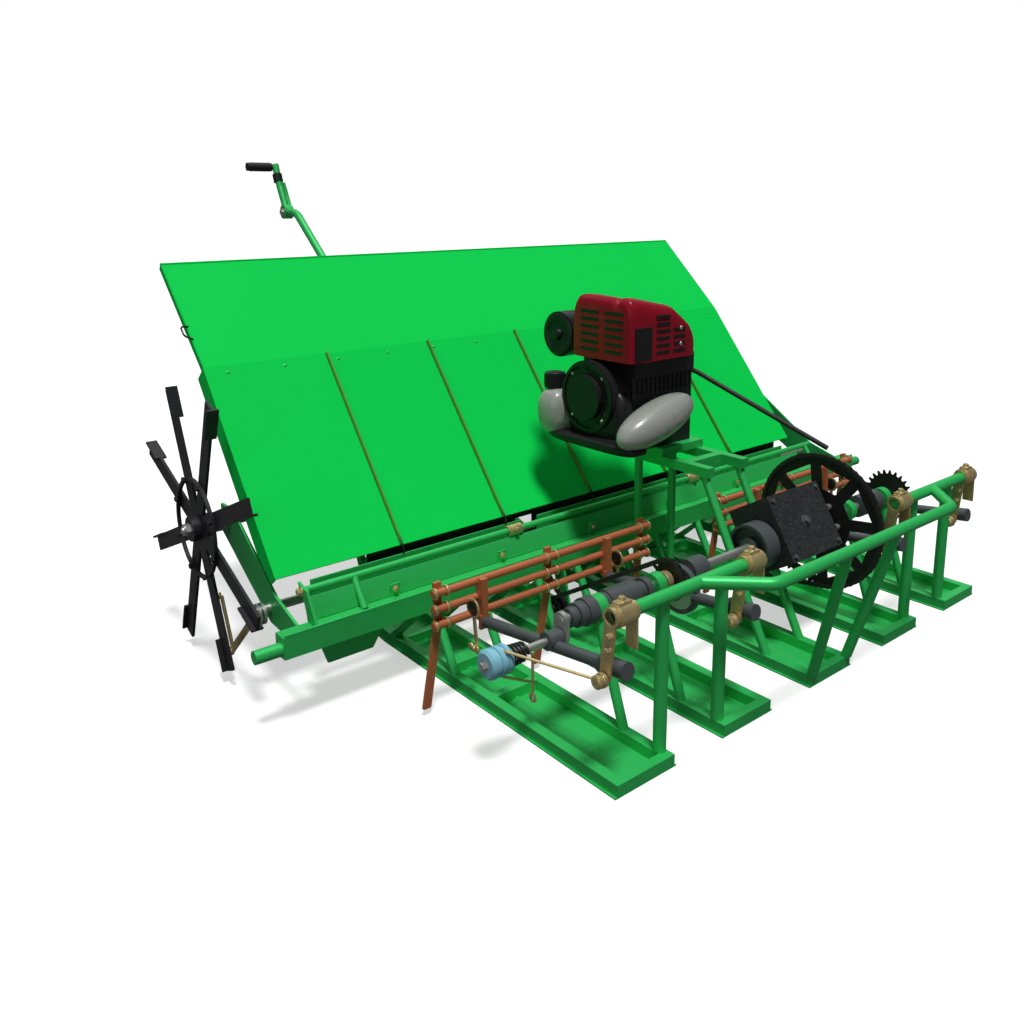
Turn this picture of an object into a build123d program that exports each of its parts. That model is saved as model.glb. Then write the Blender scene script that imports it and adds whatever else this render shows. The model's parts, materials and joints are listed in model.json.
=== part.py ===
"""Six-row walk-behind rice transplanter: skids, tilted seedling tray, planting arms and paddle wheels.

Millimetres. +X runs across the rows, +Y is the way the machine travels, +Z is up.
The origin lies on the ground, under the middle of the machine's outline.
Places along Y are given as distances ahead of the skid tails and turned into Y by fore().
"""

from build123d import *
from math import acos, atan2, cos, hypot, pi, radians, sin, sqrt
import os

os.makedirs("parts", exist_ok=True)

# Rows and overall layout
row_pitch = 230.0
skid_count = 5
tail_y = -1018.0  # back edge of the skids, so that the outline is centred on the origin
running_gap = 0.1

# Square and round tube stock
rail_side = 18.0
tube_r = 10.0
brace_r = 8.0
shaft_r = 8.0

# Skids
skid_width = 125.0
skid_flat_length = 600.0
skid_sole = 2.0
sole_lip = 4.0
nose_radius = 150.0
nose_angle = 50.0
skid_bar_width = 16.0
skid_bar_starts = (0.0, 290.0, 420.0, 560.0)

# Rear frame over the skid tails
post_setback = 22.0
top_tube_z = 263.0
top_tube_y = 15.0
top_tube_inner = 206.0
top_tube_left = -512.0
top_tube_right = 484.0
bow_reach = 60.0
bow_corner_x = 262.0
bow_end_x = 340.0
bow_bend = 28.0
bow_leg_x = 74.0
bow_leg_r = 9.0

# Crankshaft
crank_y = 156.0
crank_z = 196.0
crank_throw = 24.0
crank_pin_r = 6.0
pin_tips = (-606.0, 492.0)
web_t = 8.0
webs_x = (-478.0, 448.0)
web_width = 28.0
eccentric_r = 34.0
eccentric_t = 10.0
inner_arm_x = 220.0
outer_arms_x = (-500.0, 470.0)
bearing_r = 20.0
bearing_length = 18.0
brace_foot_y = 88.0
drum_r = 22.0
collar_r = 15.0
collar_step = 4.0
brake_drum_r = 43.0
brake_lip = 5.0

# Planting arms, rockers and claw racks
arm_front = (318.0, 140.0)
arm_rear = (2.0, 184.0)
arm_r = 9.5
arm_rear_r = 13.0
arm_rear_length = 44.0
arm_boss_wall = 8.0
rocker_pin = (25.0, 171.0)
rocker_t = 4.0
rocker_half_gap = 18.0
rocker_width = 20.0
rocker_sleeve_wall = 4.0
rocker_pin_r = 6.0
rocker_pin_proud = 3.0
rocker_pin_inside = 3.0
stub_end = (14.0, 208.0)
rack_y = 337.0
rack_heights = (152.0, 179.0, 206.0)
rack_bar_r = 6.5
rack_inner = 104.0
rack_outer = 590.0
claw_tip = 12.0
claw_top = 220.0
claw_lean = 26.0
claw_width = 14.0
claw_t = 6.0
rows_per_side = 3

# Chains and chain wheels
chain_pitch = 12.7
tooth_rise = 0.3 * chain_pitch
tooth_root = 0.32 * chain_pitch
tooth_t = 3.0
link_gap = 0.5
link_t = 1.6
link_half = 4.4
link_waist = 3.0
big_teeth = 64
pinion_teeth = 8
drive_teeth = 16
relay_teeth = 8
lay_teeth = 12
big_wheel_x = 186.0
window_count = 8
window_inner_r = 66.0
window_outer_r = 112.0
window_spoke = 22.0
window_turn = 15.0
pinion_y = 290.0
pinion_z = 62.0
drive_wheel_x = -246.0
lay_wheel_x = -232.0
relay_y = 440.0
relay_z = 46.0
side_wheel_teeth = 24
side_wheel_x = 440.0

# Lay shaft under the tray
lay_y = 575.0
lay_z = 150.0
lay_end_x = 782.0
cam_r = 18.0
cam_offset = 6.0
cam_t = 5.0

# Cross beam
beam_y = 447.0
beam_depth = 30.0
beam_bottom = 118.0
beam_top = 154.0
beam_half = 790.0
beam_tube_r = 11.0
beam_tube_z = 131.0
beam_tube_half = 833.0
drop_plate_x = (-724.0, -600.0)
drop_plate_low = 81.0
drop_plate_slant = 28.0
strut_foot_y = 385.0
nose_strut_y = 590.0

# Gate tube ahead of the tray's lip
gate_y = 495.0
gate_z = 200.0
gate_r = 6.0
gate_left = -735.0
gate_right = 660.0
gate_post_x = 640.0

# Seedling tray
tray_shift = -60.0
tray_half = 697.0
lip_y = 541.0
lip_z = 211.0
lower_slope = 51.6
lower_length = 400.0
upper_slope = 43.8
upper_length = 248.0
tray_sheet = 3.0
tray_wall = 22.0
tray_wall_deep = 38.0
tray_wall_step = 60.0
divider_height = 8.0
divider_t = 3.0
rail_clear = 0.4
slide_tube_r = 9.0
slide_half = 580.0
slide_strut_x = 542.0
slide_low = 45.0
slide_high = 340.0
strut_turn_y = 635.0
strut_base_low = 118.0
strut_base_high = 136.0

# Paddle wheels
wheel_x = 805.0
wheel_y = 735.0
wheel_z = 258.0
wheel_r = 250.0
wheel_arms = 8
wheel_turn = 22.5
arm_width = 30.0
arm_t = 5.0
paddle_length = 56.0
paddle_width = 20.0
paddle_t = 4.0
axle_sleeve_r = 15.0
hub_r = 22.0
hub_length = 34.0
end_play = 1.0
ring_r = 86.0
ring_wire_r = 3.0
axle_r = 9.0
axle_proud = 28.0
plate_t = 5.0
plate_x = 755.0
axle_inset = 40.0
plate_boss = 26.0

# Reduction gear housing
gear_left = 4.0
gear_right = 157.0
gear_corner = (150.0, 285.0)
gear_tilt = 59.0
gear_height = 125.0
gear_depth = 95.0

# Engine stand and engine
stand_top = 330.0
stand_side = 18.0
stand_rear_y = 233.0
stand_front_y = 469.0
stand_leg_y = 412.0
stand_leg_top = 305.0
stand_leg_back = 248.0
plate_top = 345.0
engine_x = (-184.0, 41.0)
engine_y = (322.0, 552.0)
engine_top = 640.0
block_top = 520.0
block_inset = (60.0, 40.0, 60.0)
shroud_x = (-160.0, 15.0)
shroud_y = (330.0, 490.0)
shroud_round = 20.0
shroud_shoulder = (-43.0, 615.0)
shroud_fall = (0.0, 581.0)
window_x = (-150.0, -107.0)
window_top = 583.0
slot_x = (-97.0, -60.0)
slot_count = 6
slot_pitch = 12.0
slot_height = 5.0
slot_depth = 6.0
crank_case_z = 465.0
crank_case_y = 440.0
starter_y = 432.0
starter_z = 448.0
starter_r = 68.0
starter_cap_r = 43.0
starter_cap = 12.0
cleaner_y = 536.0
cleaner_z = 553.0
cleaner_r = 44.0
cleaner_x = (-150.0, -110.0)
cleaner_throat = (-60.0, 23.0)
tank_x = (-200.0, -10.0)
tank_rear_y = 280.0
tank_front_y = (506.0, 560.0)
tank_floor = 352.0
tank_saddle = 374.0
tank_top = 446.0
tank_round = 22.0
cap_r = 20.0
cap_length = 30.0
cap_neck_r = 14.0
cap_neck = 4.0
clutch_r = 36.0
clutch_length = 50.0
plate_rear = 343.0
drive_tube_r = 5.0
drive_tube_bend = 30.0
drive_tube_lead = 40.0
drive_tube_end = (262.0, 194.0, 320.0)

# Handle
pole_r = 12.0
pole_z = 124.0
pole_bend_y = 1161.0
pole_knee = (1955.0, 778.0)
pole_end = (2010.0, 783.0)
pole_bend_r = 60.0
a_frame_x = 214.0
a_frame_y = 1080.0
a_frame_r = 9.0
hinge = (2025.0, 783.0)
hinge_r = 22.0
hinge_half = 14.0
upper_knee = (2066.0, 862.0)
grip_y = 2093.0
grip_z = 925.0
grip_r = 13.0
grip_start = -14.0
grip_end = -92.0


def fore(distance):
    """Y of a place that lies this far ahead of the skid tails."""
    return tail_y + distance


def rod(start, end, radius):
    """Round bar between two points."""
    start = Vector(*start)
    end = Vector(*end)
    with BuildPart() as bar:
        with BuildSketch(Plane(origin=start, z_dir=end - start)):
            Circle(radius)
        extrude(amount=(end - start).length)
    return bar.part


def barrel(x_start, x_end, place, radius, bore=0.0):
    """Round drum or sleeve along X at a place given as Y and Z."""
    with BuildPart() as drum:
        with BuildSketch(Plane.YZ.offset(x_start)):
            with Locations(place):
                Circle(radius)
                if bore > 0:
                    Circle(bore, mode=Mode.SUBTRACT)
        extrude(amount=x_end - x_start)
    return drum.part


def slab(x_start, x_end, points):
    """Plate with a straight-sided outline in Y and Z, between two places along X."""
    with BuildPart() as plate:
        with BuildSketch(Plane.YZ.offset(x_start)):
            with BuildLine():
                Polyline(*points, close=True)
            make_face()
        extrude(amount=x_end - x_start)
    return plate.part


def box_between(low, high):
    """Block between two corners."""
    with BuildPart() as block:
        with BuildSketch(Plane.XY.offset(low[2])):
            with Locations(((low[0] + high[0]) / 2, (low[1] + high[1]) / 2)):
                Rectangle(high[0] - low[0], high[1] - low[1])
        extrude(amount=high[2] - low[2])
    return block.part


def bent_tube(points, bend, radius):
    """Round tube along straight runs with a tangent bend at each inner point."""
    with BuildPart() as tube:
        with BuildLine() as path:
            FilletPolyline(*points, radius=bend)
        with BuildSketch(Plane(origin=path.line @ 0, z_dir=path.line % 0)):
            Circle(radius)
        sweep(path=path.line)
    return tube.part


def save(solid, label):
    """Label one piece and write it out."""
    solid.label = label
    export_step(solid, "parts/" + label + ".step")


# Skids
skid_half = skid_width / 2
rail_x = skid_half - sole_lip - rail_side / 2
rail_top = skid_sole + rail_side
row_lines = [(index - (skid_count - 1) / 2) * row_pitch for index in range(skid_count)]


def skid_layer(x_start, x_end, base, height):
    """One layer of a skid, flat and then curved up at the nose."""
    inner = nose_radius - base - height
    outer = nose_radius - base
    turn = radians(nose_angle)
    start = fore(skid_flat_length)
    low_end = (start + outer * sin(turn), nose_radius - outer * cos(turn))
    high_end = (start + inner * sin(turn), nose_radius - inner * cos(turn))
    with BuildPart() as layer:
        with BuildSketch(Plane.YZ.offset(x_start)):
            with BuildLine():
                Line((fore(0), base), (start, base))
                TangentArc((start, base), low_end, tangent=(1, 0))
                Line(low_end, high_end)
                TangentArc((start, base + height), high_end, tangent=(1, 0))
                Line((start, base + height), (fore(0), base + height))
                Line((fore(0), base + height), (fore(0), base))
            make_face()
        extrude(amount=x_end - x_start)
    return layer.part


with BuildPart() as skid:
    add(skid_layer(-skid_half, skid_half, 0.0, skid_sole))
    for side in (-1, 1):
        rail_low = side * rail_x - rail_side / 2
        add(skid_layer(rail_low, rail_low + rail_side, skid_sole, rail_side))
    for start in skid_bar_starts:
        bar_y = fore(start)
        add(
            box_between(
                (-rail_x, bar_y, skid_sole),
                (rail_x, bar_y + skid_bar_width, rail_top),
            )
        )
for number, row_x in enumerate(row_lines, start=1):
    save(skid.part.moved(Location((row_x, 0, 0))), "skid_" + str(number))

# Rear frame: posts, top tubes and the bow that joins them
post_y = fore(post_setback)
tube_y = fore(top_tube_y)
bow_y = fore(-bow_reach)
brace_lines = [-2 * row_pitch + rail_x, -row_pitch - rail_x]
brace_lines = brace_lines + [row_pitch + rail_x, 2 * row_pitch - rail_x]
with BuildPart() as rear_frame:
    for line_x in brace_lines:
        add(rod((line_x, post_y, rail_top), (line_x, post_y, top_tube_z), tube_r))
    for side in (-1, 1):
        add(
            rod(
                (side * top_tube_inner, tube_y, top_tube_z),
                (top_tube_left if side < 0 else top_tube_right, tube_y, top_tube_z),
                tube_r,
            )
        )
        add(rod((side * rail_x, fore(bow_leg_r), 0), (side * bow_leg_x, bow_y, top_tube_z), bow_leg_r))
    add(
        bent_tube(
            [
                (-bow_end_x, tube_y, top_tube_z),
                (-bow_corner_x, bow_y, top_tube_z),
                (bow_corner_x, bow_y, top_tube_z),
                (bow_end_x, tube_y, top_tube_z),
            ],
            bow_bend,
            tube_r,
        )
    )
    add(
        box_between((-skid_width, fore(-skid_width), -rail_side), (skid_width, fore(skid_width), rail_top)),
        mode=Mode.SUBTRACT,
    )
save(rear_frame.part, "rear_frame")

# Braces that carry the crankshaft bearings
crank_axis = (fore(crank_y), crank_z)
with BuildPart() as braces:
    for line_x in brace_lines:
        add(rod((line_x, fore(brace_foot_y), 0), (line_x, *crank_axis), brace_r))
        add(barrel(line_x - bearing_length / 2, line_x + bearing_length / 2, crank_axis, bearing_r))
    add(barrel(-beam_half, beam_half, crank_axis, shaft_r + running_gap), mode=Mode.SUBTRACT)
    add(
        box_between((-beam_half, fore(0), -rail_side), (beam_half, fore(crank_y), rail_top)),
        mode=Mode.SUBTRACT,
    )
save(braces.part, "bearing_braces")

# Cross beam with the tube that runs through it, and the struts that stand on the skids
beam_mid_y = fore(beam_y + beam_depth / 2)
beam_front_y = fore(beam_y + beam_depth)
with BuildPart() as cross_beam:
    add(box_between((-beam_half, fore(beam_y), beam_bottom), (beam_half, beam_front_y, beam_top)))
    add(
        rod(
            (-beam_tube_half, beam_mid_y, beam_tube_z),
            (beam_tube_half, beam_mid_y, beam_tube_z),
            beam_tube_r,
        )
    )
    for row_x in row_lines:
        for side in (-1, 1):
            strut_x = row_x + side * rail_x
            add(rod((strut_x, fore(strut_foot_y), 0), (strut_x, beam_mid_y, beam_tube_z), brace_r))
            add(
                slab(
                    strut_x - brace_r,
                    strut_x + brace_r,
                    [
                        (beam_front_y - brace_r, beam_bottom),
                        (beam_front_y, beam_bottom),
                        (fore(nose_strut_y) + brace_r, rail_top - sole_lip),
                        (fore(nose_strut_y) - brace_r, rail_top - sole_lip),
                    ],
                )
            )
    with BuildSketch(Plane.XZ.offset(-beam_mid_y)):
        with BuildLine():
            Polyline(
                (drop_plate_x[0], beam_bottom + plate_t),
                (drop_plate_x[1], beam_bottom + plate_t),
                (drop_plate_x[1] - drop_plate_slant, drop_plate_low),
                (drop_plate_x[0] + drop_plate_slant / 2, drop_plate_low),
                close=True,
            )
        make_face()
    extrude(amount=-plate_t)
    add(
        box_between(
            (-beam_tube_half, fore(0), -rail_side),
            (beam_tube_half, fore(nose_strut_y * 2), rail_top),
        ),
        mode=Mode.SUBTRACT,
    )
save(cross_beam.part, "cross_beam")

# Plates that hold the lay shaft's ends and the wheel axles
lay_axis = (fore(lay_y), lay_z)
wheel_axis = (fore(wheel_y), wheel_z)
with BuildPart() as wheel_plates:
    for side in (-1, 1):
        add(
            slab(
                side * plate_x,
                side * (plate_x - plate_t),
                [
                    (beam_front_y, beam_bottom),
                    (lay_axis[0], lay_axis[1] - plate_boss),
                    (wheel_axis[0] + plate_boss, wheel_axis[1] - plate_boss),
                    (wheel_axis[0] + plate_boss, wheel_axis[1] + plate_boss),
                    (wheel_axis[0] - plate_boss, wheel_axis[1] + plate_boss),
                    (lay_axis[0] - plate_boss, lay_axis[1] + plate_boss),
                    (beam_front_y, beam_top),
                ],
            )
        )
    bore_x = plate_x + plate_t
    add(barrel(-bore_x, bore_x, lay_axis, shaft_r + running_gap), mode=Mode.SUBTRACT)
    add(barrel(-bore_x, bore_x, wheel_axis, axle_r), mode=Mode.SUBTRACT)
save(wheel_plates.part, "wheel_plates")

# Axle of the paddle wheel with the spacer sleeve between the plate and the hub
with BuildPart() as axle:
    add(barrel(axle_inset - plate_x, -wheel_x - axle_proud, wheel_axis, axle_r))
    add(barrel(-plate_x, hub_length / 2 + end_play - wheel_x, wheel_axis, axle_sleeve_r, axle_r))
save(axle.part, "wheel_axles")

# Paddle wheel: flat arms whose ends carry a turned-out blade
with BuildPart() as wheel:
    add(barrel(-wheel_x - hub_length / 2, -wheel_x + hub_length / 2, wheel_axis, hub_r))
    for arm in range(wheel_arms):
        turn = radians(wheel_turn + arm * 360 / wheel_arms)
        outward = Plane(
            origin=(-wheel_x, *wheel_axis),
            x_dir=(-1, 0, 0),
            z_dir=(0, cos(turn), sin(turn)),
        )
        with BuildSketch(outward.offset(axle_r)):
            Rectangle(arm_t, arm_width)
        extrude(amount=wheel_r - axle_r)
        with BuildSketch(outward.offset(wheel_r - paddle_length)):
            with Locations((0, (arm_width - paddle_t) / 2)):
                Rectangle(paddle_width, paddle_t)
        extrude(amount=paddle_length)
    ring_low = -wheel_x - arm_t / 2
    add(barrel(ring_low, ring_low - 2 * ring_wire_r, wheel_axis, ring_r + ring_wire_r, ring_r - ring_wire_r))
    add(
        barrel(-wheel_x - hub_length, -wheel_x + hub_length, wheel_axis, axle_r + running_gap),
        mode=Mode.SUBTRACT,
    )
save(wheel.part, "paddle_wheel_left")

# Seedling tray: two sheets, side walls and dividers
slope = radians(lower_slope)
upper = radians(upper_slope)
knee = (lip_y + lower_length * cos(slope), lip_z + lower_length * sin(slope))
crown = (knee[0] + upper_length * cos(upper), knee[1] + upper_length * sin(upper))


def tray_band(lift, depth):
    """Side outline rows of a band along the tray, from lift above the sheet down by depth."""
    rows = []
    for offset in (lift, lift - depth):
        lip = (fore(lip_y - offset * sin(slope)), lip_z + offset * cos(slope))
        bend = (fore(knee[0] - offset * sin(slope)), knee[1] + offset * cos(slope))
        top = (fore(crown[0] - offset * sin(upper)), crown[1] + offset * cos(upper))
        rows.append([lip, bend, top])
    return rows


def side_loop(rows, first, last):
    """Closed outline between the two rows of a band."""
    return rows[0][first:last] + rows[1][first:last][::-1]


tray_low_x = tray_shift - tray_half
tray_high_x = tray_shift + tray_half
sheet = tray_band(0.0, tray_sheet)
with BuildPart() as tray_lower:
    add(slab(tray_low_x, tray_high_x, side_loop(sheet, 0, 2)))
    shallow = tray_band(0.0, tray_wall)
    deep = tray_band(0.0, tray_wall_deep)
    step = (deep[1][0][0] + tray_wall_step * cos(slope), deep[1][0][1] + tray_wall_step * sin(slope))
    for side in (-1, 1):
        edge = tray_shift + side * tray_half
        add(slab(edge, edge - side * tray_sheet, [*shallow[0][:2], deep[1][1], step, shallow[1][0]]))
save(tray_lower.part, "tray_lower")

with BuildPart() as dividers:
    for row in range(-2, 3):
        line_x = tray_shift + row * row_pitch
        outline = side_loop(tray_band(divider_height, divider_height), 0, 2)
        add(slab(line_x - divider_t / 2, line_x + divider_t / 2, outline))
save(dividers.part, "tray_dividers")

with BuildPart() as tray_upper:
    add(slab(tray_low_x, tray_high_x, side_loop(sheet, 1, 3)))
save(tray_upper.part, "tray_upper")


def under_tray(along, drop):
    """Place below the lower sheet, measured along it from the lip."""
    y = lip_y + along * cos(slope) + drop * sin(slope)
    z = lip_z + along * sin(slope) - drop * cos(slope)
    return fore(y), z


# Rails that the tray slides along, and the struts that hold them
rail_drop = tray_sheet + slide_tube_r + rail_clear
low_rail = under_tray(slide_low, rail_drop)
high_rail = under_tray(slide_high, rail_drop)
turn_point = (fore(strut_turn_y), (strut_base_low + strut_base_high) / 2)
with BuildPart() as tray_rails:
    for place in (low_rail, high_rail):
        add(barrel(-slide_half, slide_half, place, slide_tube_r))
    for side in (-1, 1):
        x = side * slide_strut_x
        add(rod((x, *high_rail), (x, *turn_point), brace_r))
        add(rod((x, *low_rail), (x, *turn_point), brace_r))
        add(
            box_between(
                (x - brace_r, beam_front_y, strut_base_low),
                (x + brace_r, turn_point[0] + brace_r, strut_base_high),
            )
        )
save(tray_rails.part, "tray_rails")

# Gate tube that runs ahead of the lip
with BuildPart() as gate_tube:
    add(barrel(gate_left, gate_right, (fore(gate_y), gate_z), gate_r))
    for side in (-1, 1):
        add(rod((side * gate_post_x, fore(gate_y), gate_z), (side * gate_post_x, beam_mid_y, beam_top), gate_r))
    with BuildSketch(Plane.YZ.offset(gate_left)):
        with BuildLine():
            Polyline(
                (fore(gate_y) + 2 * gate_r, gate_z + 2 * gate_r),
                (fore(gate_y) - 3 * gate_r, gate_z + gate_r),
                (fore(beam_y), beam_top),
                (beam_front_y, beam_top),
            )
            ThreePointArc(
                (beam_front_y, beam_top),
                (fore(gate_y) - 2 * gate_r, (gate_z + beam_top) / 2),
                (fore(gate_y) + 2 * gate_r, gate_z + 2 * gate_r),
            )
        make_face()
    extrude(amount=plate_t)
    add(box_between((-beam_half, fore(beam_y), beam_bottom), (beam_half, beam_front_y, beam_top)), mode=Mode.SUBTRACT)
save(gate_tube.part, "gate_tube")


def pitch_radius(teeth):
    """Pitch radius of a chain wheel."""
    return chain_pitch / (2 * sin(pi / teeth))


def chain_wheel(teeth, middle, place, bore):
    """Toothed disc about the X axis, each tooth a flat-topped wedge."""
    points = []
    for tooth in range(teeth):
        for share, rise in ((-0.32, -tooth_root), (-0.1, tooth_rise), (0.1, tooth_rise), (0.32, -tooth_root)):
            turn = 2 * pi * (tooth + share) / teeth
            r = pitch_radius(teeth) + rise
            points.append((place[0] + r * cos(turn), place[1] + r * sin(turn)))
    with BuildPart() as disc:
        add(slab(middle - tooth_t / 2, middle + tooth_t / 2, points))
        add(barrel(middle - tooth_t, middle + tooth_t, place, bore), mode=Mode.SUBTRACT)
    return disc.part


def belt_line(rear, rear_r, front, front_r):
    """Points along the pitch line of a chain round two wheels, with the outward way at each."""
    span = hypot(front[0] - rear[0], front[1] - rear[1])
    heading = atan2(front[1] - rear[1], front[0] - rear[0])
    opening = acos((rear_r - front_r) / span)
    strand = sqrt(span**2 - (rear_r - front_r) ** 2)
    wrap_rear = 2 * (pi - opening) * rear_r
    wrap_front = 2 * opening * front_r
    length = wrap_rear + wrap_front + 2 * strand
    stations = 2 * round(length / chain_pitch)
    line = []
    for station in range(stations):
        along = station * length / stations
        if along < wrap_rear:
            way = heading + opening + along / rear_r
            line.append((rear[0] + rear_r * cos(way), rear[1] + rear_r * sin(way), way))
            continue
        along -= wrap_rear
        if along < strand:
            way = heading - opening
            y = rear[0] + rear_r * cos(way) - along * sin(way)
            z = rear[1] + rear_r * sin(way) + along * cos(way)
            line.append((y, z, way))
            continue
        along -= strand
        if along < wrap_front:
            way = heading - opening + along / front_r
            line.append((front[0] + front_r * cos(way), front[1] + front_r * sin(way), way))
            continue
        along -= wrap_front
        way = heading + opening
        y = front[0] + front_r * cos(way) - along * sin(way)
        z = front[1] + front_r * sin(way) + along * cos(way)
        line.append((y, z, way))
    return line


def chain_loop(middle, rear, rear_teeth, front, front_teeth):
    """Two waisted link rows round a pair of wheels, tied by rollers on the free strands."""
    line = belt_line(rear, pitch_radius(rear_teeth), front, pitch_radius(front_teeth))
    outer = []
    inner = []
    rollers = []
    for station, (y, z, way) in enumerate(line):
        half = link_half if station % 2 == 0 else link_waist
        outer.append((y + half * cos(way), z + half * sin(way)))
        inner.append((y - half * cos(way), z - half * sin(way)))
        free = min(
            hypot(y - rear[0], z - rear[1]) - pitch_radius(rear_teeth),
            hypot(y - front[0], z - front[1]) - pitch_radius(front_teeth),
        )
        if free > 3 * link_half and station % 4 == 0:
            rollers.append((y, z))
    reach = tooth_t / 2 + link_gap
    with BuildPart() as loop:
        for low in (middle - reach - link_t, middle + reach):
            add(slab(low, low + link_t, outer))
            add(slab(low, low + link_t, inner), mode=Mode.SUBTRACT)
        for place in rollers:
            add(slab(middle - reach, middle + reach, hexagon(place, link_waist)))
    return loop.part


def hexagon(place, radius):
    """Corners of a six-sided roller."""
    turns = [2 * pi * corner / 6 for corner in range(6)]
    return [(place[0] + radius * cos(turn), place[1] + radius * sin(turn)) for turn in turns]


# Crankshaft with its end webs, pins and inner eccentrics
pin_axis = (crank_axis[0], crank_axis[1] - crank_throw)
with BuildPart() as crankshaft:
    add(barrel(webs_x[0] - web_t, webs_x[1] + web_t, crank_axis, shaft_r))
    for side, web_x, pin_tip in zip((-1, 1), webs_x, pin_tips):
        add(
            barrel(
                side * (inner_arm_x - eccentric_t / 2),
                side * (inner_arm_x + eccentric_t / 2),
                pin_axis,
                eccentric_r,
            )
        )
        with BuildSketch(Plane.YZ.offset(web_x)):
            with Locations((crank_axis[0], crank_axis[1] - crank_throw / 2)):
                SlotCenterToCenter(crank_throw, web_width, rotation=90)
        extrude(amount=side * web_t)
        add(barrel(web_x + side * web_t, pin_tip, pin_axis, crank_pin_r))
save(crankshaft.part, "crankshaft")

# Clutch drums with their stepped collars and the hollow brake drum
drum_spans = [(-440.0, -421.0), (-392.0, -330.0), (-202.0, -165.0), (316.0, 386.0)]
collar_spans = [(-470.0, -456.0), (-400.0, -392.0), (-330.0, -312.0), (-312.0, -300.0)]
brake_span = (-36.0, 0.0)
with BuildPart() as drums:
    for start, end in drum_spans:
        add(barrel(start, end, crank_axis, drum_r, shaft_r))
    for number, (start, end) in enumerate(collar_spans):
        add(barrel(start, end, crank_axis, collar_r + number % 2 * collar_step, shaft_r))
    add(barrel(-456.0, -440.0, crank_axis, collar_r + collar_step, shaft_r))
    add(barrel(*brake_span, crank_axis, brake_drum_r, shaft_r))
    add(
        barrel(
            brake_span[0],
            brake_span[0] + 3 * brake_lip,
            crank_axis,
            brake_drum_r - brake_lip,
            shaft_r + 2 * brake_lip,
        ),
        mode=Mode.SUBTRACT,
    )
save(drums.part, "crank_drums")


def wheel_window(turn):
    """Corners of one window of the big chain wheel, between two spokes."""
    corners = []
    for r, edge in ((window_inner_r, 1), (window_outer_r, 1), (window_outer_r, -1), (window_inner_r, -1)):
        reach = pi / window_count - window_spoke / 2 / r
        corners.append((crank_axis[0] + r * cos(turn + edge * reach), crank_axis[1] + r * sin(turn + edge * reach)))
    return corners


with BuildPart() as big_wheel:
    add(chain_wheel(big_teeth, big_wheel_x, crank_axis, shaft_r))
    for window in range(window_count):
        corners = wheel_window(radians(window_turn) + 2 * pi * window / window_count)
        add(slab(big_wheel_x - tooth_t, big_wheel_x + tooth_t, corners), mode=Mode.SUBTRACT)
    add(barrel(big_wheel_x - 3 * tooth_t, big_wheel_x + 6 * tooth_t, crank_axis, drum_r, shaft_r))
save(big_wheel.part, "big_chain_wheel")
with BuildPart() as drive_wheels:
    add(chain_wheel(drive_teeth, drive_wheel_x, crank_axis, shaft_r))
    add(chain_wheel(side_wheel_teeth, side_wheel_x, crank_axis, shaft_r))
save(drive_wheels.part, "drive_chain_wheels")


def planting_arm(line_x):
    """Round arm with a thick rear end and the bearing that rides on the crank."""
    on_pin = abs(line_x) != inner_arm_x
    bore = (crank_pin_r if on_pin else eccentric_r) + running_gap
    boss_half = (arm_rear_r * 2 if on_pin else eccentric_t) / 2
    front = Vector(line_x, fore(arm_front[0]), arm_front[1])
    rear = Vector(line_x, fore(arm_rear[0]), arm_rear[1])
    thick_end = rear + (front - rear).normalized() * arm_rear_length
    reach = arm_rear_r * 2
    with BuildPart() as arm:
        add(rod(front, rear, arm_r))
        add(rod(thick_end, rear, arm_rear_r))
        add(barrel(line_x - boss_half, line_x + boss_half, pin_axis, bore + arm_boss_wall))
        add(barrel(line_x - reach, line_x + reach, pin_axis, bore), mode=Mode.SUBTRACT)
    return arm.part


# Planting arms, claw racks and claws, one set on each side
for side, name, outer_arm_x in ((-1, "left", outer_arms_x[0]), (1, "right", outer_arms_x[1])):
    with BuildPart() as arms:
        for line_x in (side * inner_arm_x, outer_arm_x):
            add(planting_arm(line_x))
    save(arms.part, "planting_arms_" + name)

    rack_low = rack_heights[0] - rack_bar_r
    rack_high = rack_heights[-1] + rack_bar_r
    with BuildPart() as rack:
        for height in rack_heights:
            add(barrel(side * rack_inner, side * rack_outer, (fore(rack_y), height), rack_bar_r))
        for line_x in (side * inner_arm_x, outer_arm_x):
            add(
                box_between(
                    (line_x - claw_t, fore(arm_front[0]) + 2, rack_low - claw_t),
                    (line_x + claw_t, fore(rack_y), rack_high),
                )
            )
            add(
                box_between(
                    (line_x - arm_r, fore(arm_front[0]) + 2, rack_low - 3 * claw_t),
                    (line_x + arm_r, fore(arm_front[0]) + 2 + claw_t, rack_low + claw_t),
                )
            )
    save(rack.part, "claw_rack_" + name)

    with BuildPart() as claws:
        for row in range(rows_per_side):
            claw_x = side * row_pitch * (row + 0.5)
            with BuildSketch(Plane.XZ.offset(-(fore(rack_y) + rack_bar_r + claw_t))):
                with BuildLine():
                    Polyline(
                        (claw_x - claw_width / 2, claw_top),
                        (claw_x + claw_width / 2, claw_top),
                        (claw_x + claw_width / 2, rack_heights[0]),
                        (claw_x - claw_lean + claw_width / 2, claw_tip),
                        (claw_x - claw_lean - claw_width / 2, claw_tip),
                        (claw_x - claw_width / 2, rack_heights[0]),
                        close=True,
                    )
                make_face()
            extrude(amount=claw_t)
    save(claws.part, "claws_" + name)

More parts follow.
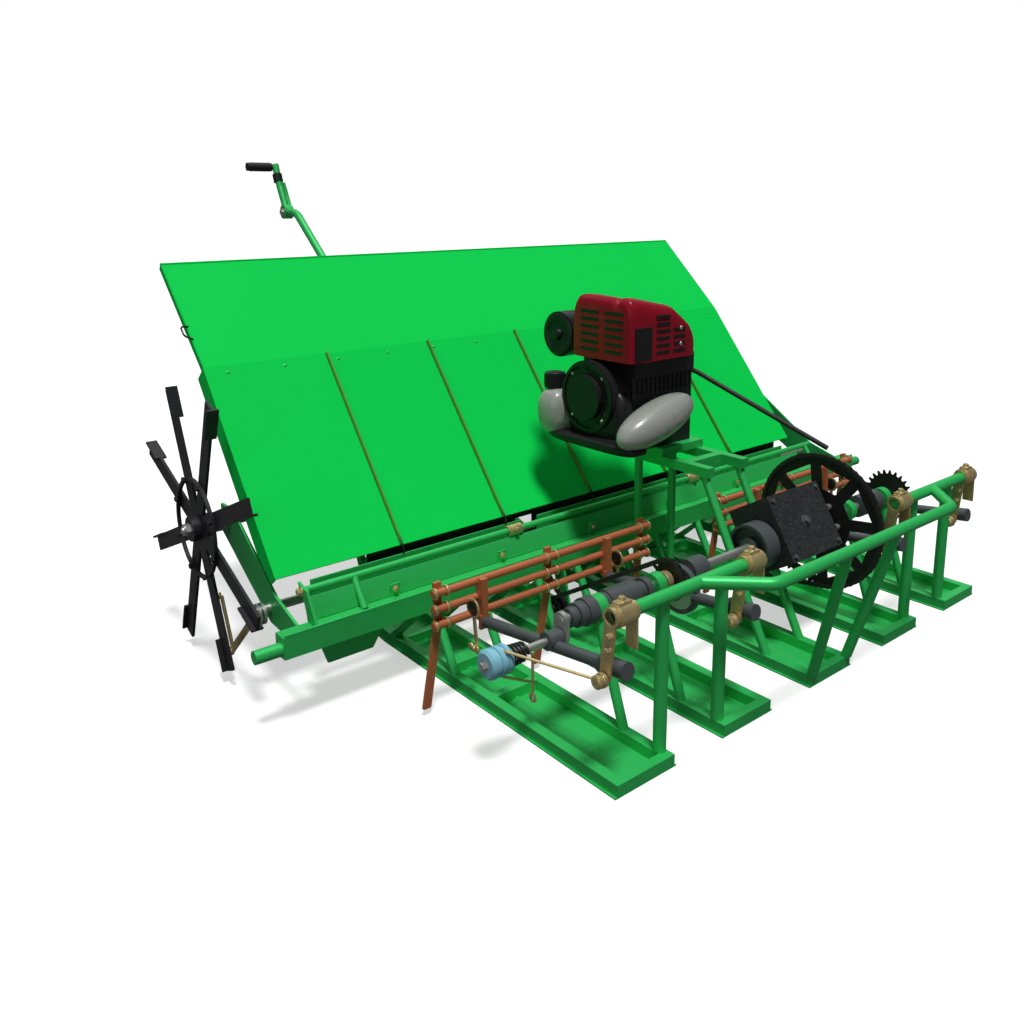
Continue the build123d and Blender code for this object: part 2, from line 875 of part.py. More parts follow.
# Rockers that hang from the top tubes
rocker_axis = (tube_y, top_tube_z)
rocker_low = (fore(rocker_pin[0]), rocker_pin[1])
stub_low = (fore(stub_end[0]), stub_end[1])
arm_lines = [outer_arms_x[0], -inner_arm_x, inner_arm_x, outer_arms_x[1]]
for number, line_x in enumerate(arm_lines, start=1):
    rocker_half = rocker_half_gap + rocker_t
    with BuildPart() as rocker:
        add(barrel(line_x - rocker_half, line_x + rocker_half, rocker_axis, tube_r + rocker_sleeve_wall))
        for side, low_end in ((-1, rocker_low), (1, stub_low)):
            with BuildSketch(Plane.YZ.offset(line_x + side * rocker_half_gap)):
                with BuildLine():
                    Line(rocker_axis, low_end)
                trace(line_width=rocker_width)
            extrude(amount=side * rocker_t)
        add(
            barrel(
                line_x - rocker_half - rocker_pin_proud,
                line_x - rocker_half_gap + rocker_pin_inside,
                rocker_low,
                rocker_pin_r,
            )
        )
        add(
            barrel(line_x - rocker_half, line_x + rocker_half, rocker_axis, tube_r + running_gap),
            mode=Mode.SUBTRACT,
        )
    save(rocker.part, "rocker_" + str(number))

# Relay shaft under the beam, lay shaft under the tray, and their chains
relay_axis = (fore(relay_y), relay_z)
relay_left = drive_wheel_x - 14.0
relay_right = lay_wheel_x + 14.0
bracket_t = 5.0
bracket_half = 14.0
with BuildPart() as relay:
    add(barrel(relay_left - bracket_t, relay_right + bracket_t, relay_axis, brace_r - 2))
    for middle in (drive_wheel_x, lay_wheel_x):
        add(chain_wheel(relay_teeth, middle, relay_axis, brace_r - 3))
save(relay.part, "relay_wheels")

with BuildPart() as relay_bracket:
    for low in (relay_left - bracket_t, relay_right):
        add(
            slab(
                low,
                low + bracket_t,
                [
                    (relay_axis[0] - bracket_half, relay_axis[1] - bracket_half),
                    (relay_axis[0] + bracket_half, relay_axis[1] - bracket_half),
                    (beam_front_y, beam_bottom),
                    (fore(beam_y), beam_bottom),
                ],
            )
        )
    add(barrel(-beam_half, 0, relay_axis, brace_r - 2 + running_gap), mode=Mode.SUBTRACT)
save(relay_bracket.part, "relay_bracket")

with BuildPart() as lay_shaft:
    add(barrel(-lay_end_x, lay_end_x, lay_axis, shaft_r))
    for side in (-1, 1):
        for outer in (lay_end_x - 2.0, lay_end_x - 10.0):
            add(
                barrel(
                    side * outer,
                    side * (outer - cam_t),
                    (lay_axis[0], lay_axis[1] - cam_offset),
                    cam_r,
                )
            )
save(lay_shaft.part, "lay_shaft")
save(chain_wheel(lay_teeth, lay_wheel_x, lay_axis, shaft_r), "lay_chain_wheel")
save(chain_loop(drive_wheel_x, crank_axis, drive_teeth, relay_axis, relay_teeth), "drive_chain")
save(chain_loop(lay_wheel_x, relay_axis, relay_teeth, lay_axis, lay_teeth), "lay_chain")

# Lay shaft bearings hung from the tray's struts
with BuildPart() as lay_bearings:
    for side in (-1, 1):
        x = side * (slide_strut_x + brace_r + bearing_length / 2)
        add(barrel(x - bearing_length / 2, x + bearing_length / 2, lay_axis, bearing_r))
        add(
            slab(
                x - claw_t / 2,
                x + claw_t / 2,
                [
                    (lay_axis[0] - bearing_r / 2, lay_axis[1]),
                    (beam_front_y, beam_top),
                    (beam_front_y, beam_bottom),
                    (lay_axis[0], lay_axis[1] - bearing_r / 2),
                ],
            )
        )
    add(barrel(-beam_half, beam_half, lay_axis, shaft_r + running_gap), mode=Mode.SUBTRACT)
save(lay_bearings.part, "lay_bearings")

# Reduction gear housing with the crankshaft running through it
tilt = radians(gear_tilt)
down_way = (-cos(tilt), -sin(tilt))
deep_way = (sin(tilt), -cos(tilt))
gear_a = (fore(gear_corner[0]), gear_corner[1])
gear_b = (gear_a[0] + gear_height * down_way[0], gear_a[1] + gear_height * down_way[1])
gear_c = (gear_b[0] + gear_depth * deep_way[0], gear_b[1] + gear_depth * deep_way[1])
gear_d = (gear_a[0] + gear_depth * deep_way[0], gear_a[1] + gear_depth * deep_way[1])
gear_outline = [gear_a, gear_b, gear_c, gear_d]
with BuildPart() as gear_housing:
    add(slab(gear_left, gear_right, gear_outline))
    add(barrel(0, gear_right * 2, crank_axis, shaft_r + running_gap), mode=Mode.SUBTRACT)
save(gear_housing.part, "gear_housing")

# Pinion of the main chain, with its pedestal on the skid
pinion_axis = (fore(pinion_y), pinion_z)
pedestal_x = (206.0, 218.0)
with BuildPart() as pinion:
    add(chain_wheel(pinion_teeth, big_wheel_x, pinion_axis, brace_r - 3))
    add(barrel(big_wheel_x - 2 * tooth_t, pedestal_x[1] + 4, pinion_axis, brace_r - 2))
save(pinion.part, "chain_pinion")
with BuildPart() as pedestal:
    add(
        slab(
            *pedestal_x,
            [
                (fore(skid_bar_starts[1]), rail_top),
                (fore(skid_bar_starts[1]) + skid_bar_width, rail_top),
                (pinion_axis[0] + bracket_half, pinion_z + bracket_half),
                (pinion_axis[0] - bracket_half, pinion_z + bracket_half),
                (pinion_axis[0] - bracket_half, pinion_z - bracket_half),
            ],
        )
    )
    add(barrel(0, gear_right * 2, pinion_axis, brace_r - 2 + running_gap), mode=Mode.SUBTRACT)
save(pedestal.part, "pinion_pedestal")
save(chain_loop(big_wheel_x, crank_axis, big_teeth, pinion_axis, pinion_teeth), "main_chain")

# Engine stand: two bars on slanted and upright legs
with BuildPart() as engine_stand:
    for side in (-1, 1):
        x = side * rail_x
        add(
            box_between(
                (x - stand_side / 2, fore(stand_rear_y), stand_top - stand_side),
                (x + stand_side / 2, fore(stand_front_y), stand_top),
            )
        )
        add(rod((x, fore(brace_foot_y), 0), (x, fore(stand_leg_back), stand_leg_top + brace_r), brace_r))
        add(rod((x, fore(stand_leg_y), 0), (x, fore(stand_leg_y), stand_top - brace_r), brace_r))
    for y in (stand_leg_y - 120.0, stand_front_y - stand_side / 2):
        add(
            box_between(
                (-rail_x, fore(y) - stand_side / 2, stand_top - stand_side),
                (rail_x, fore(y) + stand_side / 2, stand_top),
            )
        )
    add(slab(gear_left, gear_right, gear_outline), mode=Mode.SUBTRACT)
    add(
        box_between((-skid_width, fore(0), -rail_side), (skid_width, fore(stand_front_y), rail_top)),
        mode=Mode.SUBTRACT,
    )
    for side in (-1, 1):
        add(
            rod(
                (side * rail_x, fore(strut_foot_y), 0),
                (side * rail_x, beam_mid_y, beam_tube_z),
                brace_r,
            ),
            mode=Mode.SUBTRACT,
        )
save(engine_stand.part, "engine_stand")

# Engine: mounting plate, crank case, shroud, starter, air cleaner, tank and clutch housing
with BuildPart() as engine_base:
    add(
        box_between(
            (-rail_x - stand_side / 2, fore(plate_rear), stand_top),
            (rail_x + stand_side / 2, fore(stand_front_y), plate_top),
        )
    )
save(engine_base.part, "engine_plate")

with BuildPart() as engine_block:
    add(
        box_between(
            (engine_x[0] + block_inset[0], fore(engine_y[0] + block_inset[1]), plate_top),
            (engine_x[1], fore(engine_y[1] - block_inset[2]), block_top),
        )
    )
save(engine_block.part, "engine_block")

with BuildPart() as shroud:
    with BuildSketch(Plane.XZ.offset(-fore(shroud_y[1]))):
        with BuildLine():
            Polyline(
                (shroud_x[0], block_top),
                (shroud_x[0], engine_top - shroud_round),
                (shroud_x[0] + shroud_round, engine_top),
                shroud_shoulder,
                shroud_fall,
                (shroud_x[1], shroud_fall[1] - shroud_round),
                (shroud_x[1], block_top),
                close=True,
            )
        make_face()
    extrude(amount=shroud_y[1] - shroud_y[0])
    with BuildSketch(Plane.YZ.offset(shroud_x[0])):
        with BuildLine():
            Polyline(
                (fore(shroud_y[0]), block_top),
                (fore(shroud_y[0]), engine_top - shroud_round),
                (fore(shroud_y[0]) + shroud_round, engine_top),
                (fore(shroud_y[1]) - shroud_round, engine_top),
                (fore(shroud_y[1]), engine_top - shroud_round),
                (fore(shroud_y[1]), block_top),
                close=True,
            )
        make_face()
    extrude(amount=shroud_x[1] - shroud_x[0], mode=Mode.INTERSECT)
    add(
        box_between(
            (window_x[0], fore(shroud_y[0]), block_top),
            (window_x[1], fore(shroud_y[0]) + shroud_round, window_top),
        ),
        mode=Mode.SUBTRACT,
    )
    for slot in range(slot_count):
        slot_low = block_top + slot_pitch * (slot + 1)
        add(
            box_between(
                (slot_x[0], fore(shroud_y[0]), slot_low),
                (slot_x[1], fore(shroud_y[0]) + slot_depth, slot_low + slot_height),
            ),
            mode=Mode.SUBTRACT,
        )
save(shroud.part, "engine_shroud")

starter_axis = (fore(starter_y), starter_z)
block_left = engine_x[0] + block_inset[0]
with BuildPart() as starter:
    add(barrel(engine_x[0] + starter_cap, block_left, starter_axis, starter_r))
    add(barrel(engine_x[0], engine_x[0] + 2 * starter_cap, starter_axis, starter_cap_r))
save(starter.part, "starter_cover")

# Saddle tank: a rear lobe along the block, a run below the starter and a front lobe with the filler
block_rear = fore(engine_y[0] + block_inset[1])
cap_y = fore((tank_front_y[0] + tank_front_y[1]) / 2)
cap_x = (tank_x[0] + block_left) / 2
with BuildPart() as tank:
    add(
        slab(
            tank_x[0],
            tank_x[1],
            [
                (fore(tank_rear_y) + tank_round, tank_floor),
                (block_rear, tank_floor),
                (block_rear, tank_top),
                (fore(tank_rear_y) + tank_round, tank_top),
                (fore(tank_rear_y), tank_top - tank_round),
                (fore(tank_rear_y), tank_floor + tank_round),
            ],
        )
    )
    add(
        slab(
            tank_x[0],
            block_left,
            [
                (fore(tank_rear_y) + tank_round, tank_floor),
                (fore(tank_front_y[1]) - tank_round, tank_floor),
                (fore(tank_front_y[1]), tank_floor + tank_round),
                (fore(tank_front_y[1]), tank_top),
                (fore(tank_front_y[0]), tank_top),
                (fore(tank_front_y[0]), tank_saddle),
                (fore(tank_rear_y) + tank_round, tank_saddle),
            ],
        )
    )
    add(rod((cap_x, cap_y, tank_top), (cap_x, cap_y, tank_top + cap_neck), cap_neck_r))
save(tank.part, "fuel_tank")
cap_low = tank_top + cap_neck
save(rod((cap_x, cap_y, cap_low), (cap_x, cap_y, cap_low + cap_length), cap_r), "fuel_cap")

# Air cleaner on its throat beside the shroud
with BuildPart() as cleaner:
    add(barrel(*cleaner_x, (fore(cleaner_y), cleaner_z), cleaner_r))
    add(
        box_between(
            (cleaner_x[1] - plate_t, fore(shroud_y[1]), cleaner_z - cleaner_throat[1]),
            (cleaner_throat[0], fore(cleaner_y), cleaner_z + cleaner_throat[1]),
        )
    )
save(cleaner.part, "air_cleaner")

case_axis = (fore(crank_case_y), crank_case_z)
with BuildPart() as clutch_case:
    add(barrel(engine_x[1], engine_x[1] + clutch_length, case_axis, clutch_r))
save(clutch_case.part, "clutch_housing")

tube_x = engine_x[1] + clutch_length
tube_end = (drive_tube_end[0], fore(drive_tube_end[1]), drive_tube_end[2])
with BuildPart() as drive_tube:
    add(
        bent_tube(
            [(tube_x, *case_axis), (tube_x + drive_tube_lead, *case_axis), tube_end],
            drive_tube_bend,
            drive_tube_r,
        )
    )
save(drive_tube.part, "drive_tube")

# Handle: pole with its side stays, hinge, upper tube and grip
with BuildPart() as pole:
    add(
        bent_tube(
            [
                (0, beam_front_y, pole_z),
                (0, fore(pole_bend_y), pole_z),
                (0, fore(pole_knee[0]), pole_knee[1]),
                (0, fore(pole_end[0]), pole_end[1]),
            ],
            pole_bend_r,
            pole_r,
        )
    )
    for side in (-1, 1):
        add(rod((side * a_frame_x, beam_mid_y, pole_z), (0, fore(a_frame_y), pole_z), a_frame_r))
    add(
        box_between((-beam_half, fore(beam_y), 0), (beam_half, beam_front_y, beam_top)),
        mode=Mode.SUBTRACT,
    )
    add(
        barrel(-hinge_half * 2, hinge_half * 2, (fore(hinge[0]), hinge[1]), hinge_r),
        mode=Mode.SUBTRACT,
    )
save(pole.part, "handle_pole")

with BuildPart() as head:
    add(barrel(-hinge_half, hinge_half, (fore(hinge[0]), hinge[1]), hinge_r))
    add(
        bent_tube(
            [
                (0, fore(hinge[0]), hinge[1]),
                (0, fore(upper_knee[0]), upper_knee[1]),
                (0, fore(grip_y), grip_z + 8),
            ],
            30.0,
            pole_r - 1,
        )
    )
    add(barrel(grip_end, 6.0, (fore(grip_y), grip_z), grip_r - 4))
save(head.part, "handle_head")

with BuildPart() as grip:
    add(barrel(grip_end - 4, grip_start, (fore(grip_y), grip_z), grip_r))
    add(barrel(grip_end, grip_start, (fore(grip_y), grip_z), grip_r - 4), mode=Mode.SUBTRACT)
save(grip.part, "handle_grip")
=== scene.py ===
"""Looks of a six-row walk-behind rice transplanter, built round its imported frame.

Metres, in the frame's own axes: +X across the rows, +Y the way the machine travels, +Z up.
Places are written in millimetres as (across, ahead of the skid tails, up) and turned into metres by spot().
"""

import json
import logging
from dataclasses import dataclass, field
from enum import Enum
from math import cos, pi, radians, sin, sqrt
from typing import Sequence

import bmesh
import bpy
import numpy as np
from mathutils import Matrix, Vector

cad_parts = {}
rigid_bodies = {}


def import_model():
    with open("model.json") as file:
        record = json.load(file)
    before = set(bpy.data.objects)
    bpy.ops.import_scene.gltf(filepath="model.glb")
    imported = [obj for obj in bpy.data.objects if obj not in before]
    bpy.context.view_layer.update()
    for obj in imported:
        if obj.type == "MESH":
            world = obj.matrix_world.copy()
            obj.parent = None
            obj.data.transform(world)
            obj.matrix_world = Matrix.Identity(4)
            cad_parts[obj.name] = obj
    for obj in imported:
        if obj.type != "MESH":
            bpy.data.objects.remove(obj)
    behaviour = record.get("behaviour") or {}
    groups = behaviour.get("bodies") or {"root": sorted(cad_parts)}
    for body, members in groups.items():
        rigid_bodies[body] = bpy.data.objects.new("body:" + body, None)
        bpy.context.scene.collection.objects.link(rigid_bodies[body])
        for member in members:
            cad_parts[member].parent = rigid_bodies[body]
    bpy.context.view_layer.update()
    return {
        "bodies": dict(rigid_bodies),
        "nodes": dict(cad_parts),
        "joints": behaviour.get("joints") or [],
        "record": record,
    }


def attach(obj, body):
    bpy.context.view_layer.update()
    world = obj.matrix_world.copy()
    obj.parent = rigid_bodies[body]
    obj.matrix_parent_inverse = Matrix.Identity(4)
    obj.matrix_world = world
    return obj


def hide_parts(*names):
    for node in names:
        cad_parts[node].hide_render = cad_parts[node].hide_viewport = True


Array = np.ndarray
Span = tuple[float, float]
Triple = tuple[float, float, float]
Colour = Triple
Profile = tuple[Span, ...]
Socket = bpy.types.NodeSocket

LOG = logging.getLogger("transplanter")
MM = 0.001
TAIL_Y = -1018.0
ROCKER_PLACES = (-500.0, -220.0, 220.0, 470.0)
ACROSS = np.array([1.0, 0.0, 0.0])
AHEAD = np.array([0.0, 1.0, 0.0])
UP = np.array([0.0, 0.0, 1.0])

# Distances in metres below which points merge and an edge is dropped
MERGE_DISTANCE = 1e-6
SHORTEST_EDGE = 1e-7

# Runs across a rounded edge, and rays that round it in the shader
BEVEL_SEGMENTS = 2
BEVEL_SAMPLES = 4

# Depth in millimetres that a head is let into its seat, and the shares that shape heads and nuts
SEAT_DEPTH = 0.4
WASHER_SHARE = 0.25
CHAMFER_FROM = 0.8
WASHER_NARROWING = 0.94
HEAD_NARROWING = 0.86
DOME_SHARE = 0.92
THREAD_SHARE = 0.96
THREAD_TIP = 0.8
THREAD_LONG = (1.5, 1.7)


def spot(across: float, ahead: float, up: float) -> Array:
    """Place in metres from millimetres across, ahead of the skid tails and up."""
    return np.array([across, TAIL_Y + ahead, up]) * MM


def unit(way: Array) -> Array:
    """Vector of length one along the last axis."""
    return way / np.linalg.norm(way, axis=-1, keepdims=True)


def square_to(way: Array) -> Array:
    """A fixed direction at right angles to the given one."""
    hint = UP if abs(way[2]) < 0.9 else AHEAD
    return unit(hint - way * np.dot(hint, way))


def spokes(count: int, first: float = 0.0) -> list[Array]:
    """Directions round an axle at an even pitch, from a first angle in degrees above the way ahead."""
    turns = radians(first) + np.arange(count) * 2 * pi / count
    return [cos(turn) * AHEAD + sin(turn) * UP for turn in turns]


# Surfaces


@dataclass
class Skin:
    """Points and faces of one surface before it becomes a mesh."""

    points: Array
    faces: list[tuple[int, ...]]


def joined(skins: Sequence[Skin]) -> Skin:
    """One surface that holds several, with the face numbers of each shifted past the points before it."""
    starts = np.cumsum([0] + [len(skin.points) for skin in skins])
    faces = []
    for skin, start in zip(skins, starts):
        faces += [tuple(int(i) + int(start) for i in face) for face in skin.faces]
    return Skin(np.concatenate([skin.points for skin in skins]), faces)


def grid_faces(rows: int, columns: int, wrap_rows: bool, wrap_columns: bool) -> list[tuple[int, ...]]:
    """Quads of a grid of points.

    The corner numbers are row times columns plus column, stepped by one each way and taken
    modulo the size where the grid closes on itself.

    Args:
        rows: Number of rows of points.
        columns: Number of points in a row.
        wrap_rows: Whether the last row meets the first.
        wrap_columns: Whether the last column meets the first.

    Returns:
        One tuple of four point numbers for each quad.
    """
    row = np.arange(rows if wrap_rows else rows - 1)[:, None]
    column = np.arange(columns if wrap_columns else columns - 1)[None, :]
    row_next = (row + 1) % rows
    column_next = (column + 1) % columns
    corners = [
        row * columns + column,
        row * columns + column_next,
        row_next * columns + column_next,
        row_next * columns + column,
    ]
    return [tuple(quad) for quad in np.stack(corners, axis=-1).reshape(-1, 4).tolist()]


def sweep(path: Array, section: Array, lift: Array, scale: Array | float = 1.0, loop: bool = False) -> Skin:
    """Section carried along a path.

    Each point is the path's point plus the section's first coordinate times the side direction
    plus its second times the lift direction, both at right angles to the path and times the scale.

    Args:
        path: Points of the path, one row each.
        section: Outline of the section, counterclockwise in side and lift.
        lift: Rough direction of the section's second coordinate.
        scale: One number, or one for each point of the path.
        loop: Whether the path closes on itself.

    Returns:
        The surface, capped at both ends where the path is open.
    """
    path = np.asarray(path, float)
    section = np.asarray(section, float)
    if loop:
        way = unit(np.roll(path, -1, axis=0) - np.roll(path, 1, axis=0))
    else:
        way = unit(np.gradient(path, axis=0))
    side = unit(np.cross(np.broadcast_to(lift, way.shape), way))
    raised = np.cross(way, side)
    size = np.broadcast_to(np.asarray(scale, float).reshape(-1, 1, 1), (len(path), 1, 1))
    spread = section[None, :, :1] * side[:, None] + section[None, :, 1:] * raised[:, None]
    points = path[:, None] + size * spread
    count = len(section)
    faces = grid_faces(len(path), count, loop, True)
    if not loop:
        faces.append(tuple(range(count))[::-1])
        faces.append(tuple(range((len(path) - 1) * count, len(path) * count)))
    return Skin(points.reshape(-1, 3), faces)


def turned(profile: Sequence[Span], origin: Array, axis: Array, steps: int = 32, loop: bool = False) -> Skin:
    """Profile turned about an axis.

    Each point is the origin plus the profile's first coordinate along the axis plus its second
    coordinate times (cosine of the angle, sine of the angle) in the plane square to the axis.

    Args:
        profile: Rows of distance along the axis and radius, in millimetres.
        origin: Place of the profile's zero, in metres.
        axis: Direction of the axis.
        steps: Number of places round the axis.
        loop: Whether the profile closes on itself, as a sleeve's does.

    Returns:
        The surface, capped at its ends where the profile is open.
    """
    outline = np.asarray(profile, float) * MM
    axis = unit(np.asarray(axis, float))
    lift = square_to(axis)
    side = np.cross(lift, axis)
    angle = np.arange(steps) * 2 * pi / steps
    ring = np.cos(angle)[:, None] * side + np.sin(angle)[:, None] * lift
    points = origin + outline[:, None, :1] * axis + outline[:, None, 1:] * ring[None]
    faces = grid_faces(len(outline), steps, loop, True)
    if not loop:
        faces.append(tuple(range(steps))[::-1])
        faces.append(tuple(range((len(outline) - 1) * steps, len(outline) * steps)))
    return Skin(points.reshape(-1, 3), faces)


def disc_section(radius: float, steps: int = 12) -> Array:
    """Circle in metres, counterclockwise, of a radius in millimetres."""
    angle = np.arange(steps) * 2 * pi / steps
    return np.stack([np.cos(angle), np.sin(angle)], axis=1) * radius * MM


def rounded_section(width: float, height: float, radius: float, steps: int = 4) -> Array:
    """Rectangle with rounded corners.

    Each corner is a quarter circle: its centre plus radius times (cosine, sine) of the angle.

    Args:
        width: Size along the first coordinate, in millimetres.
        height: Size along the second coordinate, in millimetres.
        radius: Corner radius, in millimetres.
        steps: Number of runs in each corner.

    Returns:
        Counterclockwise outline in metres.
    """
    quarter = np.linspace(0, pi / 2, steps + 1)
    centres = np.array([[1, 1], [-1, 1], [-1, -1], [1, -1]]) * [width / 2 - radius, height / 2 - radius]
    angle = quarter[None, :] + (np.arange(4) * pi / 2)[:, None]
    corner = radius * np.stack([np.cos(angle), np.sin(angle)], axis=-1)
    return (centres[:, None] + corner).reshape(-1, 2) * MM


def rod(start: Array, end: Array, radius: float, steps: int = 16) -> Skin:
    """Round bar between two places, its radius in millimetres."""
    way = unit(end - start)
    return sweep(np.stack([start, end]), disc_section(radius, steps), square_to(way))


def prism(outline: Array, origin: Array, first: Array, second: Array, depth: float) -> Skin:
    """Outline in millimetres along two directions, given a thickness along their cross product."""
    normal = np.cross(first, second)
    path = np.stack([origin, origin + normal * depth * MM])
    return sweep(path, np.asarray(outline, float) * MM, second)


def block(low: Array, high: Array) -> Skin:
    """Block between two corners in metres."""
    size = (high - low) / MM
    outline = [(0, 0), (size[0], 0), (size[0], size[1]), (0, size[1])]
    return prism(np.array(outline), low, ACROSS, AHEAD, size[2])


def eased_path(corners: Sequence[Array], bend: float, steps: int = 6) -> Array:
    """Path through corners with each inner corner eased by a parabola.

    Near a corner the point is the mix (1-t)^2 before + 2t(1-t) corner + t^2 after, where before
    and after lie a bend length from the corner.

    Args:
        corners: Places that the path runs through or round.
        bend: Distance from a corner at which its curve starts, in millimetres.
        steps: Number of runs in each curve.

    Returns:
        The points of the path.
    """
    share = np.linspace(0, 1, steps + 1)[:, None]
    runs = [np.asarray(corners[0], float)[None]]
    for before, corner, after in zip(corners, corners[1:], corners[2:]):
        enter = corner + unit(before - corner) * bend * MM
        leave = corner + unit(after - corner) * bend * MM
        runs.append((1 - share) ** 2 * enter + 2 * share * (1 - share) * corner + share**2 * leave)
    runs.append(np.asarray(corners[-1], float)[None])
    return np.concatenate(runs)


def spring(start: Array, end: Array, radius: float, wire: float, turns: float, taper: float = 0.0) -> Skin:
    """Coil spring.

    The wire's middle is the axis point plus radius times (cosine, sine) of turns times a full angle.

    Args:
        start: Middle of the first turn.
        end: Middle of the last turn.
        radius: Radius of the coil, in millimetres.
        wire: Radius of the wire, in millimetres.
        turns: Number of turns.
        taper: Share by which the coil narrows at its far end.

    Returns:
        The wire's surface.
    """
    axis = unit(end - start)
    lift = square_to(axis)
    side = np.cross(lift, axis)
    share = np.linspace(0, 1, int(turns * 16) + 1)[:, None]
    angle = share * turns * 2 * pi
    spread = radius * MM * (1 - taper * share)
    path = start + share * (end - start) + spread * (np.cos(angle) * side + np.sin(angle) * lift)
    return sweep(path, disc_section(wire, 8), axis)


def bolt_head(seat: Array, way: Array, across: float, height: float, washer: float = 0.0) -> Skin:
    """Hexagon head with a chamfer on an optional washer, its way pointing off the seat."""
    skins = []
    rise = 0.0
    if washer > 0:
        rise = height * WASHER_SHARE
        rim = [(-SEAT_DEPTH, washer), (rise * CHAMFER_FROM, washer), (rise, washer * WASHER_NARROWING)]
        skins.append(turned(rim, seat, way, 24))
    corner = across / sqrt(3)
    chamfer = rise + height * CHAMFER_FROM
    profile = [(-SEAT_DEPTH, corner), (chamfer, corner), (rise + height, corner * HEAD_NARROWING)]
    skins.append(turned(profile, seat, way, 6))
    return joined(skins)


def round_head(seat: Array, way: Array, radius: float, height: float) -> Skin:
    """Domed rivet or screw head: radius falls as the cosine while the height rises as the sine."""
    turns = np.linspace(0, pi / 2 * DOME_SHARE, 6)
    profile = [(-SEAT_DEPTH, radius)] + [(height * sin(turn), radius * cos(turn)) for turn in turns]
    return turned(profile, seat, way, 20)


def nut(seat: Array, way: Array, across: float, height: float, bore: float) -> Skin:
    """Hexagon nut with a hole through it and a stub of thread standing out."""
    corner = across / sqrt(3)
    body = turned([(0, bore), (0, corner), (height, corner), (height, bore)], seat, way, 6, loop=True)
    side, tip = bore * THREAD_SHARE, bore * THREAD_TIP
    thread = [(-0.5, side), (height * THREAD_LONG[0], side), (height * THREAD_LONG[1], tip)]
    return joined([body, turned(thread, seat, way, 16)])


def sleeve(start: Array, end: Array, outer: float, inner: float, edge: float = 0.6, steps: int = 32) -> Skin:
    """Hollow cylinder between two places with small chamfers on its outer edges."""
    length = np.linalg.norm(end - start) / MM
    near = [(0, inner), (0, outer - edge), (edge, outer)]
    far = [(length - edge, outer), (length, outer - edge), (length, inner)]
    return turned(near + far, start, end - start, steps, loop=True)


def pebble(centre: Array, axes: Array, sizes: Triple, power: float, steps: int = 28) -> Skin:
    """Rounded lump.

    Each coordinate is size times the signed cosine or sine raised to the power, as in a
    superellipsoid, so that a power of one is an egg and a lower one is nearer to a box.

    Args:
        centre: Middle of the lump.
        axes: Its three directions, one row each.
        sizes: Half sizes along them, in millimetres.
        power: Exponent of the cosines and sines.
        steps: Number of places along each angle.

    Returns:
        The closed surface.
    """
    rise = np.linspace(-pi / 2, pi / 2, steps)[:, None]
    turn = (np.arange(2 * steps) * pi / steps)[None, :]
    bent = [np.sign(f) * np.abs(f) ** power for f in (np.cos(rise), np.sin(rise), np.cos(turn), np.sin(turn))]
    local = np.stack(
        [bent[0] * bent[2], bent[0] * bent[3], np.broadcast_to(bent[1], (steps, 2 * steps))], axis=-1
    )
    points = centre + (local * np.asarray(sizes) * MM) @ np.asarray(axes, float)
    return Skin(points.reshape(-1, 3), grid_faces(steps, 2 * steps, False, True))


# Finishes


@dataclass(frozen=True)
class Grain:
    """Noise in a finish: bumps per metre, octaves, share of the finer ones, and the range that counts."""

    scale: float
    detail: float
    rough: float = 0.55
    low: float = 0.35
    high: float = 0.7


